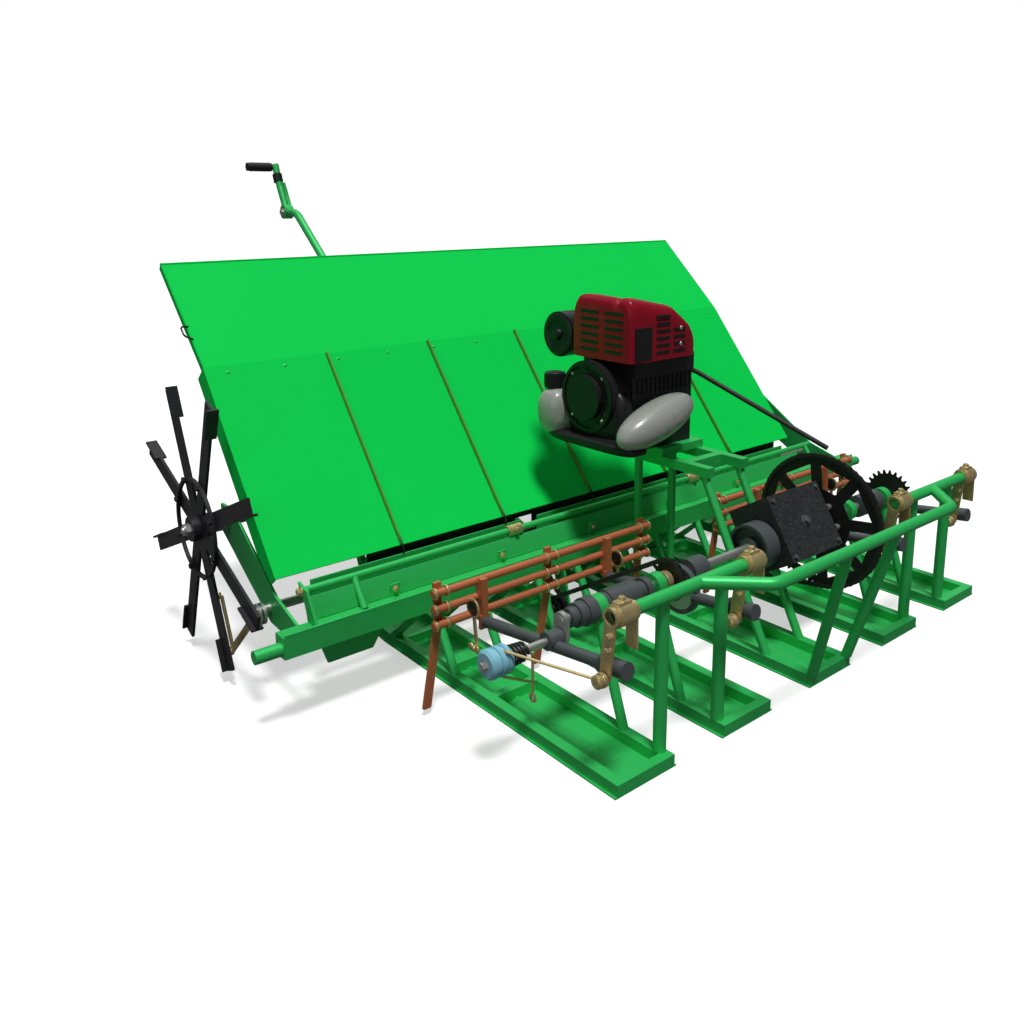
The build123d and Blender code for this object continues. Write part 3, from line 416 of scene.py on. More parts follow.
class Recipe:
    """Node graph of one material."""

    def __init__(self, name: str) -> None:
        """Make the material with an empty graph but for its main shader.

        Args:
            name: Name of the material.
        """
        self.material = bpy.data.materials.new(name)
        self.material.use_nodes = True
        self.tree = self.material.node_tree
        self.shader = self.tree.nodes["Principled BSDF"]
        self.place = self.tree.nodes.new("ShaderNodeTexCoord").outputs["Object"]

    def set(self, **values: object) -> None:
        """Write constants on the shader's own sockets, underscores standing for spaces."""
        for name, value in values.items():
            self.shader.inputs[name.replace("_", " ")].default_value = value

    def join(self, source: Socket, target: str) -> None:
        """Link a socket to one of the shader's inputs."""
        self.tree.links.new(source, self.shader.inputs[target])

    def noise(self, scale: float, detail: float, rough: float = 0.55, stretch: Triple = (1, 1, 1)) -> Socket:
        """Noise on Object coordinates, its scale in bumps per metre.

        Args:
            scale: Scale of the noise.
            detail: Number of octaves.
            rough: Share of the finer octaves.
            stretch: Factors along the three axes, for grain that runs one way.

        Returns:
            The noise's factor.
        """
        mapping = self.tree.nodes.new("ShaderNodeMapping")
        mapping.inputs["Scale"].default_value = stretch
        self.tree.links.new(self.place, mapping.inputs["Vector"])
        node = self.tree.nodes.new("ShaderNodeTexNoise")
        node.inputs["Scale"].default_value = scale
        node.inputs["Detail"].default_value = detail
        node.inputs["Roughness"].default_value = rough
        self.tree.links.new(mapping.outputs["Vector"], node.inputs["Vector"])
        return node.outputs["Fac"]

    def span(self, source: Socket, low: float, high: float, to_low: float, to_high: float) -> Socket:
        """Map a range of values on to another, held at its ends."""
        node = self.tree.nodes.new("ShaderNodeMapRange")
        for name, value in zip(("From Min", "From Max", "To Min", "To Max"), (low, high, to_low, to_high)):
            node.inputs[name].default_value = value
        self.tree.links.new(source, node.inputs["Value"])
        return node.outputs["Result"]

    def patches(self, grain: Grain, to_low: float, to_high: float) -> Socket:
        """Noise of a grain, with the range that counts mapped on to another."""
        source = self.noise(grain.scale, grain.detail, grain.rough)
        return self.span(source, grain.low, grain.high, to_low, to_high)

    def times(self, first: Socket, second: Socket) -> Socket:
        """Product of two values."""
        node = self.tree.nodes.new("ShaderNodeMath")
        node.operation = "MULTIPLY"
        self.tree.links.new(first, node.inputs[0])
        self.tree.links.new(second, node.inputs[1])
        return node.outputs[0]

    def mixed(self, share: Socket, first: object, second: object) -> Socket:
        """Mix of two colours, each a colour or a socket, by a share from none to one."""
        node = self.tree.nodes.new("ShaderNodeMix")
        node.data_type = "RGBA"
        self.tree.links.new(share, node.inputs[0])
        for socket, value in ((node.inputs[6], first), (node.inputs[7], second)):
            if isinstance(value, Socket):
                self.tree.links.new(value, socket)
            else:
                socket.default_value = (*value, 1.0)
        return node.outputs[2]

    def worn_edges(self, low: float, high: float) -> Socket:
        """Share that rises where the surface turns sharply outwards."""
        geometry = self.tree.nodes.new("ShaderNodeNewGeometry")
        return self.span(geometry.outputs["Pointiness"], low, high, 0.0, 1.0)

    def relief(self, height: Socket, strength: float, distance: float, under: Socket | None = None) -> Socket:
        """Bump from a height, its distance in metres, on top of an earlier normal if one is given."""
        node = self.tree.nodes.new("ShaderNodeBump")
        node.inputs["Strength"].default_value = strength
        node.inputs["Distance"].default_value = distance
        self.tree.links.new(height, node.inputs["Height"])
        if under is not None:
            self.tree.links.new(under, node.inputs["Normal"])
        return node.outputs["Normal"]

    def eased_normal(self, radius: float) -> Socket:
        """Normal with sharp edges rounded over a radius in metres."""
        node = self.tree.nodes.new("ShaderNodeBevel")
        node.samples = BEVEL_SAMPLES
        node.inputs["Radius"].default_value = radius
        return node.outputs["Normal"]


@dataclass(frozen=True)
class Paint:
    """Sprayed enamel: orange peel, cloudy shade, dust in patches and bare metal on the corners."""

    name: str
    colour: Colour
    shade: Colour
    dust: Colour = (0.25, 0.27, 0.22)
    gloss: float = 0.32
    peel: float = 0.12
    chips: float = 0.35
    dusty: float = 0.10
    edge: float = 0.0012
    coat: float = 0.08
    sheen: float = 0.3
    bare: Colour = (0.16, 0.15, 0.13)
    least_colour: float = 0.35
    smoother: float = 0.06
    rougher: float = 0.16
    corner: Span = (0.56, 0.66)
    peel_scale: float = 420.0
    peel_depth: float = 0.0004
    coat_rough: float = 0.2
    shading: Grain = Grain(3.0, 3.0, low=0.3, high=0.75)
    dusting: Grain = Grain(38.0, 6.0, 0.7, 0.56, 0.74)
    flaking: Grain = Grain(260.0, 4.0, low=0.5, high=0.62)
    polish: Grain = Grain(55.0, 5.0)

    def make(self) -> bpy.types.Material:
        """Build the material."""
        recipe = Recipe(self.name)
        colour = recipe.mixed(recipe.patches(self.shading, self.least_colour, 1.0), self.shade, self.colour)
        colour = recipe.mixed(recipe.patches(self.dusting, 0.0, self.dusty), colour, self.dust)
        chipped = recipe.times(recipe.worn_edges(*self.corner), recipe.patches(self.flaking, 0.0, self.chips))
        recipe.join(recipe.mixed(chipped, colour, self.bare), "Base Color")
        rough = recipe.patches(self.polish, self.gloss - self.smoother, self.gloss + self.rougher)
        recipe.join(rough, "Roughness")
        fine = recipe.noise(self.peel_scale, 2.0)
        recipe.join(recipe.relief(fine, self.peel, self.peel_depth, recipe.eased_normal(self.edge)), "Normal")
        recipe.set(Coat_Weight=self.coat, Coat_Roughness=self.coat_rough, Specular_IOR_Level=self.sheen)
        return recipe.material


@dataclass(frozen=True)
class Metal:
    """Bare or plated metal: turning marks, stains and a change of tint over the surface."""

    name: str
    colour: Colour
    tint: Colour
    rough: float = 0.3
    grain: Triple = (1, 1, 1)
    grain_scale: float = 900.0
    stain: Colour = (0.08, 0.06, 0.04)
    stained: float = 0.3
    metallic: float = 1.0
    edge: float = 0.0006
    smoother: float = 0.08
    rougher: float = 0.14
    marks: Span = (0.3, 0.7)
    mark_octaves: float = 3.0
    mark_rough: float = 0.6
    mark_strength: float = 0.18
    mark_depth: float = 0.0002
    tinting: Grain = Grain(60.0, 4.0, low=0.35, high=0.65)
    staining: Grain = Grain(170.0, 6.0, 0.7, 0.55, 0.72)

    def make(self) -> bpy.types.Material:
        """Build the material."""
        recipe = Recipe(self.name)
        lines = recipe.noise(self.grain_scale, self.mark_octaves, self.mark_rough, self.grain)
        colour = recipe.mixed(recipe.patches(self.tinting, 0.0, 1.0), self.colour, self.tint)
        spots = recipe.patches(self.staining, 0.0, self.stained)
        recipe.join(recipe.mixed(spots, colour, self.stain), "Base Color")
        rough = recipe.span(lines, *self.marks, self.rough - self.smoother, self.rough + self.rougher)
        recipe.join(rough, "Roughness")
        under = recipe.eased_normal(self.edge)
        recipe.join(recipe.relief(lines, self.mark_strength, self.mark_depth, under), "Normal")
        recipe.set(Metallic=self.metallic)
        return recipe.material


@dataclass(frozen=True)
class Moulding:
    """Moulded plastic or rubber: fine grain, scuffs and grey dust that settles in it."""

    name: str
    colour: Colour
    scuff: Colour
    rough: float = 0.45
    grain: float = 0.25
    grain_scale: float = 1400.0
    scuffed: float = 0.25
    milky: float = 0.0
    sheen: float = 0.5
    smoother: float = 0.06
    rougher: float = 0.12
    grain_depth: float = 0.0003
    milky_index: float = 1.45
    milky_coat: float = 0.3
    scuffing: Grain = Grain(95.0, 6.0, 0.72, 0.54, 0.72)
    polish: Grain = Grain(30.0, 4.0)

    def make(self) -> bpy.types.Material:
        """Build the material."""
        recipe = Recipe(self.name)
        grain = recipe.noise(self.grain_scale, 2.0)
        marks = recipe.patches(self.scuffing, 0.0, self.scuffed)
        recipe.join(recipe.mixed(marks, self.colour, self.scuff), "Base Color")
        rough = recipe.patches(self.polish, self.rough - self.smoother, self.rough + self.rougher)
        recipe.join(rough, "Roughness")
        recipe.join(recipe.relief(grain, self.grain, self.grain_depth), "Normal")
        recipe.set(Specular_IOR_Level=self.sheen)
        if self.milky > 0:
            recipe.set(Transmission_Weight=self.milky, IOR=self.milky_index, Coat_Weight=self.milky_coat)
        return recipe.material


class Finish(Enum):
    """The finishes of the machine, each with its recipe and the record's slot that it belongs to."""

    GREEN = (
        Paint(
            "green_paint", (0.001, 0.52, 0.032), (0.001, 0.40, 0.022),
            gloss=0.36, dusty=0.01, chips=0.15, coat=0.02, sheen=0.1,
        ),
        "green_paint",
    )
    GREEN_SHEET = (
        Paint(
            "green_sheet", (0.003, 0.66, 0.085), (0.003, 0.61, 0.076),
            gloss=0.55, peel=0.02, dusty=0.0, chips=0.0, edge=0.0008, coat=0.0, sheen=0.05,
        ),
        "green_paint",
    )
    OLIVE = (Paint("olive_paint", (0.10, 0.26, 0.03), (0.06, 0.16, 0.02), gloss=0.4), "olive_paint")
    BLACK_PAINT = (
        Paint(
            "black_paint", (0.009, 0.010, 0.011), (0.006, 0.006, 0.007),
            dust=(0.1, 0.1, 0.095), gloss=0.4, dusty=0.06, coat=0.0, sheen=0.2,
        ),
        "black_paint",
    )
    CHARCOAL = (
        Paint(
            "charcoal_paint", (0.022, 0.025, 0.028), (0.015, 0.017, 0.019),
            dust=(0.18, 0.18, 0.17), gloss=0.45, dusty=0.18,
        ),
        "grey_paint",
    )
    DARK_STEEL = (
        Paint(
            "dark_steel", (0.055, 0.062, 0.068), (0.035, 0.04, 0.045),
            dust=(0.25, 0.25, 0.24), gloss=0.38, dusty=0.25,
        ),
        "dark_steel",
    )
    BLACK_STEEL = (
        Metal(
            "black_steel", (0.03, 0.03, 0.032), (0.018, 0.018, 0.02), 0.42,
            stain=(0.11, 0.06, 0.03), stained=0.2, metallic=0.7,
        ),
        "black_steel",
    )
    CHAIN_STEEL = (
        Metal(
            "chain_steel", (0.045, 0.045, 0.045), (0.025, 0.024, 0.023), 0.38,
            stain=(0.12, 0.06, 0.03), stained=0.25, metallic=0.8,
        ),
        "chain_steel",
    )
    BRIGHT_STEEL = (
        Metal("bright_steel", (0.62, 0.62, 0.60), (0.48, 0.48, 0.47), 0.26, grain=(6.0, 1.0, 1.0)),
        "bright_steel",
    )
    GOLD = (
        Metal(
            "yellow_zinc", (0.74, 0.58, 0.27), (0.58, 0.47, 0.25), 0.32,
            stain=(0.16, 0.12, 0.06), stained=0.08, metallic=0.7,
        ),
        "gold_plate",
    )
    COPPER = (
        Paint(
            "copper_paint", (0.36, 0.11, 0.034), (0.25, 0.07, 0.022),
            dust=(0.45, 0.27, 0.15), gloss=0.3, dusty=0.15, chips=0.4, sheen=0.2,
        ),
        "copper_paint",
    )
    RED = (
        Moulding(
            "red_moulding", (0.27, 0.008, 0.02), (0.32, 0.03, 0.04), 0.3,
            grain=0.04, scuffed=0.06, sheen=0.16,
        ),
        "red_plastic",
    )
    BLACK_PLASTIC = (
        Moulding("black_moulding", (0.012, 0.012, 0.013), (0.04, 0.04, 0.04), 0.38, sheen=0.3),
        "black_plastic",
    )
    RUBBER = (
        Moulding(
            "rubber_sleeve", (0.016, 0.016, 0.016), (0.06, 0.06, 0.058), 0.55,
            grain=0.5, grain_scale=700.0,
        ),
        "black_rubber",
    )
    TANK = (
        Moulding(
            "milky_tank", (0.40, 0.42, 0.38), (0.34, 0.35, 0.32), 0.3,
            grain=0.06, scuffed=0.08, milky=0.25,
        ),
        "tank_plastic",
    )
    BLUE = (
        Moulding("blue_moulding", (0.22, 0.50, 0.62), (0.12, 0.3, 0.38), 0.45, scuffed=0.4),
        "bright_steel",
    )
    CAST = (
        Metal(
            "cast_metal", (0.30, 0.30, 0.31), (0.20, 0.20, 0.21), 0.45,
            stain=(0.05, 0.05, 0.05), metallic=0.85,
        ),
        "cast_grey",
    )

    def material(self) -> bpy.types.Material:
        """The finish's material, made once."""
        recipe = self.value[0]
        return bpy.data.materials.get(recipe.name) or recipe.make()

    @property
    def slot(self) -> str:
        """The record's slot for this finish."""
        return self.value[1]


@dataclass
class Workshop:
    """Turns surfaces into pieces that ride on the frame's bodies."""

    frame: dict
    slots: set[str] = field(default_factory=set)
    count: int = 0

    def __post_init__(self) -> None:
        """Note which slots the record has."""
        self.slots = {row["slot"] for row in self.frame["record"]["materials"]}

    def dress(self, finish: Finish, *nodes: str) -> None:
        """Give CAD nodes a finish in all their slots."""
        for name in nodes:
            data = self.frame["nodes"][name].data
            data.materials.clear()
            data.materials.append(finish.material())
            LOG.info("dressed %s in %s", name, finish.name)

    def piece(
        self,
        name: str,
        skins: Sequence[Skin],
        finish: Finish,
        body: str,
        crease: float = 32.0,
        bevel: float = 0.0,
        replaces: Sequence[str] = (),
    ) -> bpy.types.Object:
        """Make one piece and hang it on a body.

        Args:
            name: Name of the piece.
            skins: Its surfaces.
            finish: Its finish.
            body: The frame's body that it rides on.
            crease: Angle in degrees above which an edge stays sharp.
            bevel: Width of the bevel on sharp edges, in millimetres, or none.
            replaces: CAD nodes that the piece stands for.

        Returns:
            The new object.
        """
        skin = joined(skins)
        mesh = bpy.data.meshes.new(name)
        mesh.from_pydata(skin.points.tolist(), [], skin.faces)
        shape = bmesh.new()
        shape.from_mesh(mesh)
        bmesh.ops.remove_doubles(shape, verts=shape.verts, dist=MERGE_DISTANCE)
        bmesh.ops.dissolve_degenerate(shape, edges=shape.edges, dist=SHORTEST_EDGE)
        shape.to_mesh(mesh)
        shape.free()
        mesh.shade_smooth()
        mesh.set_sharp_from_angle(angle=radians(crease))
        mesh.materials.append(finish.material())
        thing = bpy.data.objects.new(name, mesh)
        bpy.context.scene.collection.objects.link(thing)
        if bevel > 0:
            rounding = thing.modifiers.new("rounded_edges", "BEVEL")
            rounding.width = bevel * MM
            rounding.segments = BEVEL_SEGMENTS
            rounding.limit_method = "ANGLE"
            rounding.angle_limit = radians(crease)
            rounding.harden_normals = False
        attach(thing, body)
        if finish.slot in self.slots:
            finish.slot
        if replaces:
            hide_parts(*replaces)
        self.count += 1
        LOG.info("piece %s on %s: %d faces", name, body, len(mesh.polygons))
        return thing


# Sub-assemblies


@dataclass
class Bodywork:
    """Finishes of the frame's own nodes."""

    def build(self, shop: Workshop) -> None:
        """Dress every CAD node by what it is made of."""
        by_slot = {
            "green_paint": Finish.GREEN,
            "bright_steel": Finish.BRIGHT_STEEL,
            "dark_steel": Finish.DARK_STEEL,
            "black_steel": Finish.BLACK_STEEL,
            "chain_steel": Finish.CHAIN_STEEL,
            "copper_paint": Finish.COPPER,
            "gold_plate": Finish.GOLD,
            "black_paint": Finish.BLACK_PAINT,
            "grey_paint": Finish.CHARCOAL,
            "cast_grey": Finish.CAST,
            "red_plastic": Finish.RED,
            "black_plastic": Finish.BLACK_PLASTIC,
            "black_rubber": Finish.RUBBER,
            "tank_plastic": Finish.TANK,
            "blue_plastic": Finish.BLUE,
            "olive_paint": Finish.OLIVE,
        }
        for row in shop.frame["record"]["subparts"]:
            finish = by_slot[row["material_slot"]]
            if row["node"] in ("tray_upper", "tray_lower"):
                finish = Finish.GREEN_SHEET
            shop.dress(finish, row["node"])


@dataclass(frozen=True)
class Bolt:
    """Hexagon head: width across flats, height and washer radius, in millimetres."""

    flats: float
    height: float
    washer: float = 0.0

    def head(self, seat: Array, way: Array) -> Skin:
        """The head on its seat, standing up along the way."""
        return bolt_head(seat, way, self.flats, self.height, self.washer)


@dataclass(frozen=True)
class Lump:
    """Rounded lump: its middle and half sizes in millimetres, its squareness and its tip in degrees."""

    middle: Triple
    half: Triple
    power: float
    tip: float = 0.0

    def skin(self) -> Skin:
        """The lump's surface, tipped about the way ahead."""
        turn = radians(self.tip)
        axes = np.array([[cos(turn), 0, sin(turn)], [0, 1, 0], [-sin(turn), 0, cos(turn)]])
        return pebble(spot(*self.middle), axes, self.half, self.power)


@dataclass
class EngineDress:
    """Moulded cover, tank, body, starter face, air cleaner and filler cap of the engine."""

    cover_x: Span = (-160.0, 15.0)
    cover_y: Span = (330.0, 490.0)
    joint_up: float = 520.0
    top_line: Profile = ((-160.0, 634.0), (-150.0, 640.0), (-43.0, 617.0), (0.0, 585.0), (15.0, 560.0))
    cover_grid: tuple[int, int] = (48, 56)
    end_power: int = 6
    end_least: float = 0.45
    narrowing: float = 0.25
    lowering: float = 0.2
    corner_power: float = 0.3
    groove_ahead: float = 374.0
    groove_deep: float = 11.0
    groove_half: float = 8.0
    groove_from: float = 0.6
    front_lobe: Lump = Lump((-105.0, 320.0, 411.0), (97.0, 37.0, 36.0), 0.95, tip=16.5)
    back_lobe: Lump = Lump((-162.0, 526.0, 406.0), (37.0, 35.0, 46.0), 0.8)
    neck_up: Span = (430.0, 451.0)
    neck_r: float = 14.0
    skirt_lumps: tuple[Lump, Lump] = (
        Lump((-146.0, 424.0, 414.0), (24.0, 78.0, 60.0), 0.7),
        Lump((-160.0, 420.0, 364.0), (30.0, 118.0, 11.0), 0.5),
    )
    body_x: Span = (-124.0, 41.0)
    body_y: Span = (362.0, 492.0)
    band_proud: float = 3.0
    band_inset: float = 4.0
    band_up: Span = (484.0, 519.5)
    rib_up: Span = (453.0, 482.0)
    rib_ends: Span = (14.0, 6.0)
    rib_pitch: float = 12.0
    rib_wide: float = 4.0
    rib_proud: float = 2.5
    rib_let_in: float = 0.5
    starter: Triple = (-172.0, 432.0, 448.0)
    starter_rims: tuple[Profile, Profile] = (
        ((0.5, 60.0), (0.5, 66.0), (-3.0, 66.0), (-3.0, 60.0)),
        ((0.5, 46.0), (0.5, 50.0), (-2.0, 50.0), (-2.0, 46.0)),
    )
    starter_ribs: int = 12
    starter_rib_r: Span = (48.0, 62.0)
    starter_rib_wide: float = 3.0
    starter_rib_edge: float = 0.8
    starter_screw_r: float = 56.0
    starter_screw: Span = (3.6, 2.2)
    cap: Triple = (-162.0, 533.0, 450.0)
    cap_tall: float = 30.0
    cap_r: float = 20.0
    cap_dome: Span = (17.0, 3.0)
    cap_rib_count: int = 24
    cap_rib_up: Span = (3.0, 27.0)
    cap_rib_r: float = 1.3
    cleaner: Triple = (-150.0, 536.0, 553.0)
    cleaner_lid: Profile = (
        (-0.5, 41.0), (2.0, 41.0), (4.0, 38.0), (4.0, 30.0), (2.5, 28.0),
        (2.5, 12.0), (5.0, 11.0), (9.0, 10.0), (10.0, 7.0),
    )
    window_x: Span = (-150.0, -108.0)
    window_up: Span = (524.0, 583.0)
    # Black blocks that paint the shade inside the cover's slots and window
    slot_shade_proud: float = 0.6
    slot_tall: float = 6.0
    rear_deep: float = 6.0
    rear_first: float = 11.0
    rear_pitch: float = 13.0
    rear_columns: tuple[tuple[int, float, float], ...] = ((6, -96.0, -60.0), (4, -50.0, -18.0))
    side_deep: float = 8.0
    side_first: float = 14.0
    side_pitch: float = 14.0
    side_rows: int = 6
    side_columns: tuple[Span, Span] = ((352.0, 400.0), (415.0, 462.0))
    cover_screw_x: float = -30.0
    cover_screw_up: Span = (545.0, 575.0)
    cover_screw: Span = (4.0, 2.4)

    def build(self, shop: Workshop) -> None:
        """Make the engine's pieces."""
        shop.dress(Finish.BLACK_PLASTIC, "engine_block")
        cover = [self.cover()]
        shop.piece("cover_shell", cover, Finish.RED, "chassis", crease=40, replaces=("engine_shroud",))
        shop.piece("tank_shell", self.tank(), Finish.TANK, "chassis", crease=50, replaces=("fuel_tank",))
        shop.piece("starter_skirt", self.skirt(), Finish.BLACK_PLASTIC, "chassis", crease=50)
        shop.piece("engine_seam_band", [self.band()], Finish.BLACK_PLASTIC, "chassis", bevel=1.0)
        shop.piece("engine_cooling_ribs", self.ribs(), Finish.BLACK_PLASTIC, "chassis", bevel=0.4)
        shop.piece("starter_rings", self.starter_rings(), Finish.BLACK_PLASTIC, "chassis")
        shop.piece("starter_screws", self.starter_screws(), Finish.BRIGHT_STEEL, "chassis")
        shop.piece("filler_cap_ribs", self.cap_ribs(), Finish.BLACK_PLASTIC, "chassis")
        shop.piece("air_cleaner_face", self.cleaner_face(), Finish.BLACK_PLASTIC, "chassis")
        # Black blocks of painted shade for the cover's slots and window
        shop.piece("cover_slot_shade", self.slot_shade(), Finish.BLACK_PLASTIC, "chassis")
        shop.piece("cover_screws", self.cover_screws(), Finish.BRIGHT_STEEL, "chassis")

    def cover(self) -> Skin:
        """Red cover, rounded at its edges, with a groove along it near its rear.

        At each place across, the section's half width is the full one times the width share, and its
        height follows the top line. Both shares fall off as the sixth power towards the two ends. A
        point of the section lies at the cosine and sine of the angle raised to 0.3, which makes
        nearly square shoulders, and the groove is a bell curve taken off the height.
        """
        low, high = self.cover_x
        stations, around = self.cover_grid
        across = low + (high - low) * (0.5 - 0.5 * np.cos(np.linspace(0, pi, stations)))
        from_middle = np.abs(2 * (across - low) / (high - low) - 1)
        reach = np.clip(1 - from_middle**self.end_power, 0, 1) ** (1 / self.end_power)
        share = np.clip(reach, self.end_least, 1.0)[:, None]
        top_x, top_up = zip(*self.top_line)
        tall = np.interp(across, top_x, top_up)[:, None] - self.joint_up
        angle = np.linspace(0, pi, around)[None, :]
        middle = (self.cover_y[0] + self.cover_y[1]) / 2
        half = (self.cover_y[1] - self.cover_y[0]) / 2
        out = np.sign(np.cos(angle)) * np.abs(np.cos(angle)) ** self.corner_power
        ahead = middle + half * out * (1 - self.narrowing + self.narrowing * share)
        rise = np.abs(np.sin(angle)) ** self.corner_power * tall
        rise = rise * (1 - self.lowering + self.lowering * share)
        groove = self.groove_deep * np.exp(-(((ahead - self.groove_ahead) / self.groove_half) ** 2))
        rise = rise - groove * (rise > self.groove_from * tall)
        side = np.broadcast_to(across[:, None], ahead.shape)
        points = np.stack([side, TAIL_Y + ahead, self.joint_up + rise], axis=-1) * MM
        rows, columns = points.shape[:2]
        faces = grid_faces(rows, columns, False, True)
        faces.append(tuple(range(columns))[::-1])
        faces.append(tuple(range((rows - 1) * columns, rows * columns)))
        return Skin(points.reshape(-1, 3), faces)

    def tank(self) -> list[Skin]:
        """Two smooth lobes of the saddle tank and the filler's neck."""
        across, ahead, _ = self.cap
        low, high = (spot(across, ahead, up) for up in self.neck_up)
        return [self.front_lobe.skin(), self.back_lobe.skin(), rod(low, high, self.neck_r, 24)]

    def skirt(self) -> list[Skin]:
        """Black housing that widens below the starter and hides the run between the tank's lobes."""
        return [lump.skin() for lump in self.skirt_lumps]

    def band(self) -> Skin:
        """Black band just below the red cover, proud of the body."""
        low = spot(self.body_x[0] + self.band_inset, self.body_y[0] - self.band_proud, self.band_up[0])
        high = spot(self.body_x[1] + self.band_proud, self.body_y[1] + self.band_proud, self.band_up[1])
        return block(low, high)

    def ribs(self) -> list[Skin]:
        """Upright ribs on the body's rear face, at an even pitch."""
        skins = []
        first, last = self.body_x[0] + self.rib_ends[0], self.body_x[1] - self.rib_ends[1]
        for across in np.arange(first, last, self.rib_pitch):
            low = spot(across, self.body_y[0] - self.rib_proud, self.rib_up[0])
            high = spot(across + self.rib_wide, self.body_y[0] + self.rib_let_in, self.rib_up[1])
            skins.append(block(low, high))
        return skins

    def starter_rings(self) -> list[Skin]:
        """Raised rim, ring and radial ribs on the starter's outer face."""
        centre = spot(*self.starter)
        skins = [turned(rim, centre, ACROSS, 64, loop=True) for rim in self.starter_rims]
        section = rounded_section(self.starter_rib_wide, self.starter_rib_wide, self.starter_rib_edge)
        for out in spokes(self.starter_ribs):
            ends = [centre + out * radius * MM for radius in self.starter_rib_r]
            skins.append(sweep(np.stack(ends), section, ACROSS))
        return skins

    def starter_screws(self) -> list[Skin]:
        """Four screws round the starter's rim."""
        centre = spot(*self.starter)
        seats = [centre + out * self.starter_screw_r * MM for out in spokes(4, 45.0)]
        return [round_head(seat, -ACROSS, *self.starter_screw) for seat in seats]

    def cap_ribs(self) -> list[Skin]:
        """Grip ribs round the filler cap and a low dome on its top."""
        centre = spot(*self.cap)
        skins = [round_head(centre + UP * self.cap_tall * MM, UP, *self.cap_dome)]
        for turn in np.arange(self.cap_rib_count) * 2 * pi / self.cap_rib_count:
            foot = centre + (cos(turn) * ACROSS + sin(turn) * AHEAD) * self.cap_r * MM
            low, high = (foot + UP * up * MM for up in self.cap_rib_up)
            skins.append(rod(low, high, self.cap_rib_r, 8))
        return skins

    def cleaner_face(self) -> list[Skin]:
        """Stepped lid and knob of the air cleaner."""
        return [turned(self.cleaner_lid, spot(*self.cleaner), -ACROSS, 48)]

    def slot_shade(self) -> list[Skin]:
        """Black blocks of painted shade for the slots of the cover's rear and left faces, and for its window.
        """
        face = self.cover_y[0] - self.slot_shade_proud
        low = spot(self.window_x[0], face, self.window_up[0])
        skins = [block(low, spot(self.window_x[1], face + self.rear_deep, self.window_up[1]))]
        for rows, left, right in self.rear_columns:
            for row in range(rows):
                up = self.joint_up + self.rear_first + self.rear_pitch * row
                high = spot(right, face + self.rear_deep, up + self.slot_tall)
                skins.append(block(spot(left, face, up), high))
        side = self.cover_x[0] - self.slot_shade_proud
        for row in range(self.side_rows):
            up = self.joint_up + self.side_first + self.side_pitch * row
            for rear, front in self.side_columns:
                high = spot(side + self.side_deep, front, up + self.slot_tall)
                skins.append(block(spot(side, rear, up), high))
        return skins

    def cover_screws(self) -> list[Skin]:
        """Screws that hold the cover."""
        seats = [spot(self.cover_screw_x, self.cover_y[0], up) for up in self.cover_screw_up]
        return [round_head(seat, -AHEAD, *self.cover_screw) for seat in seats]


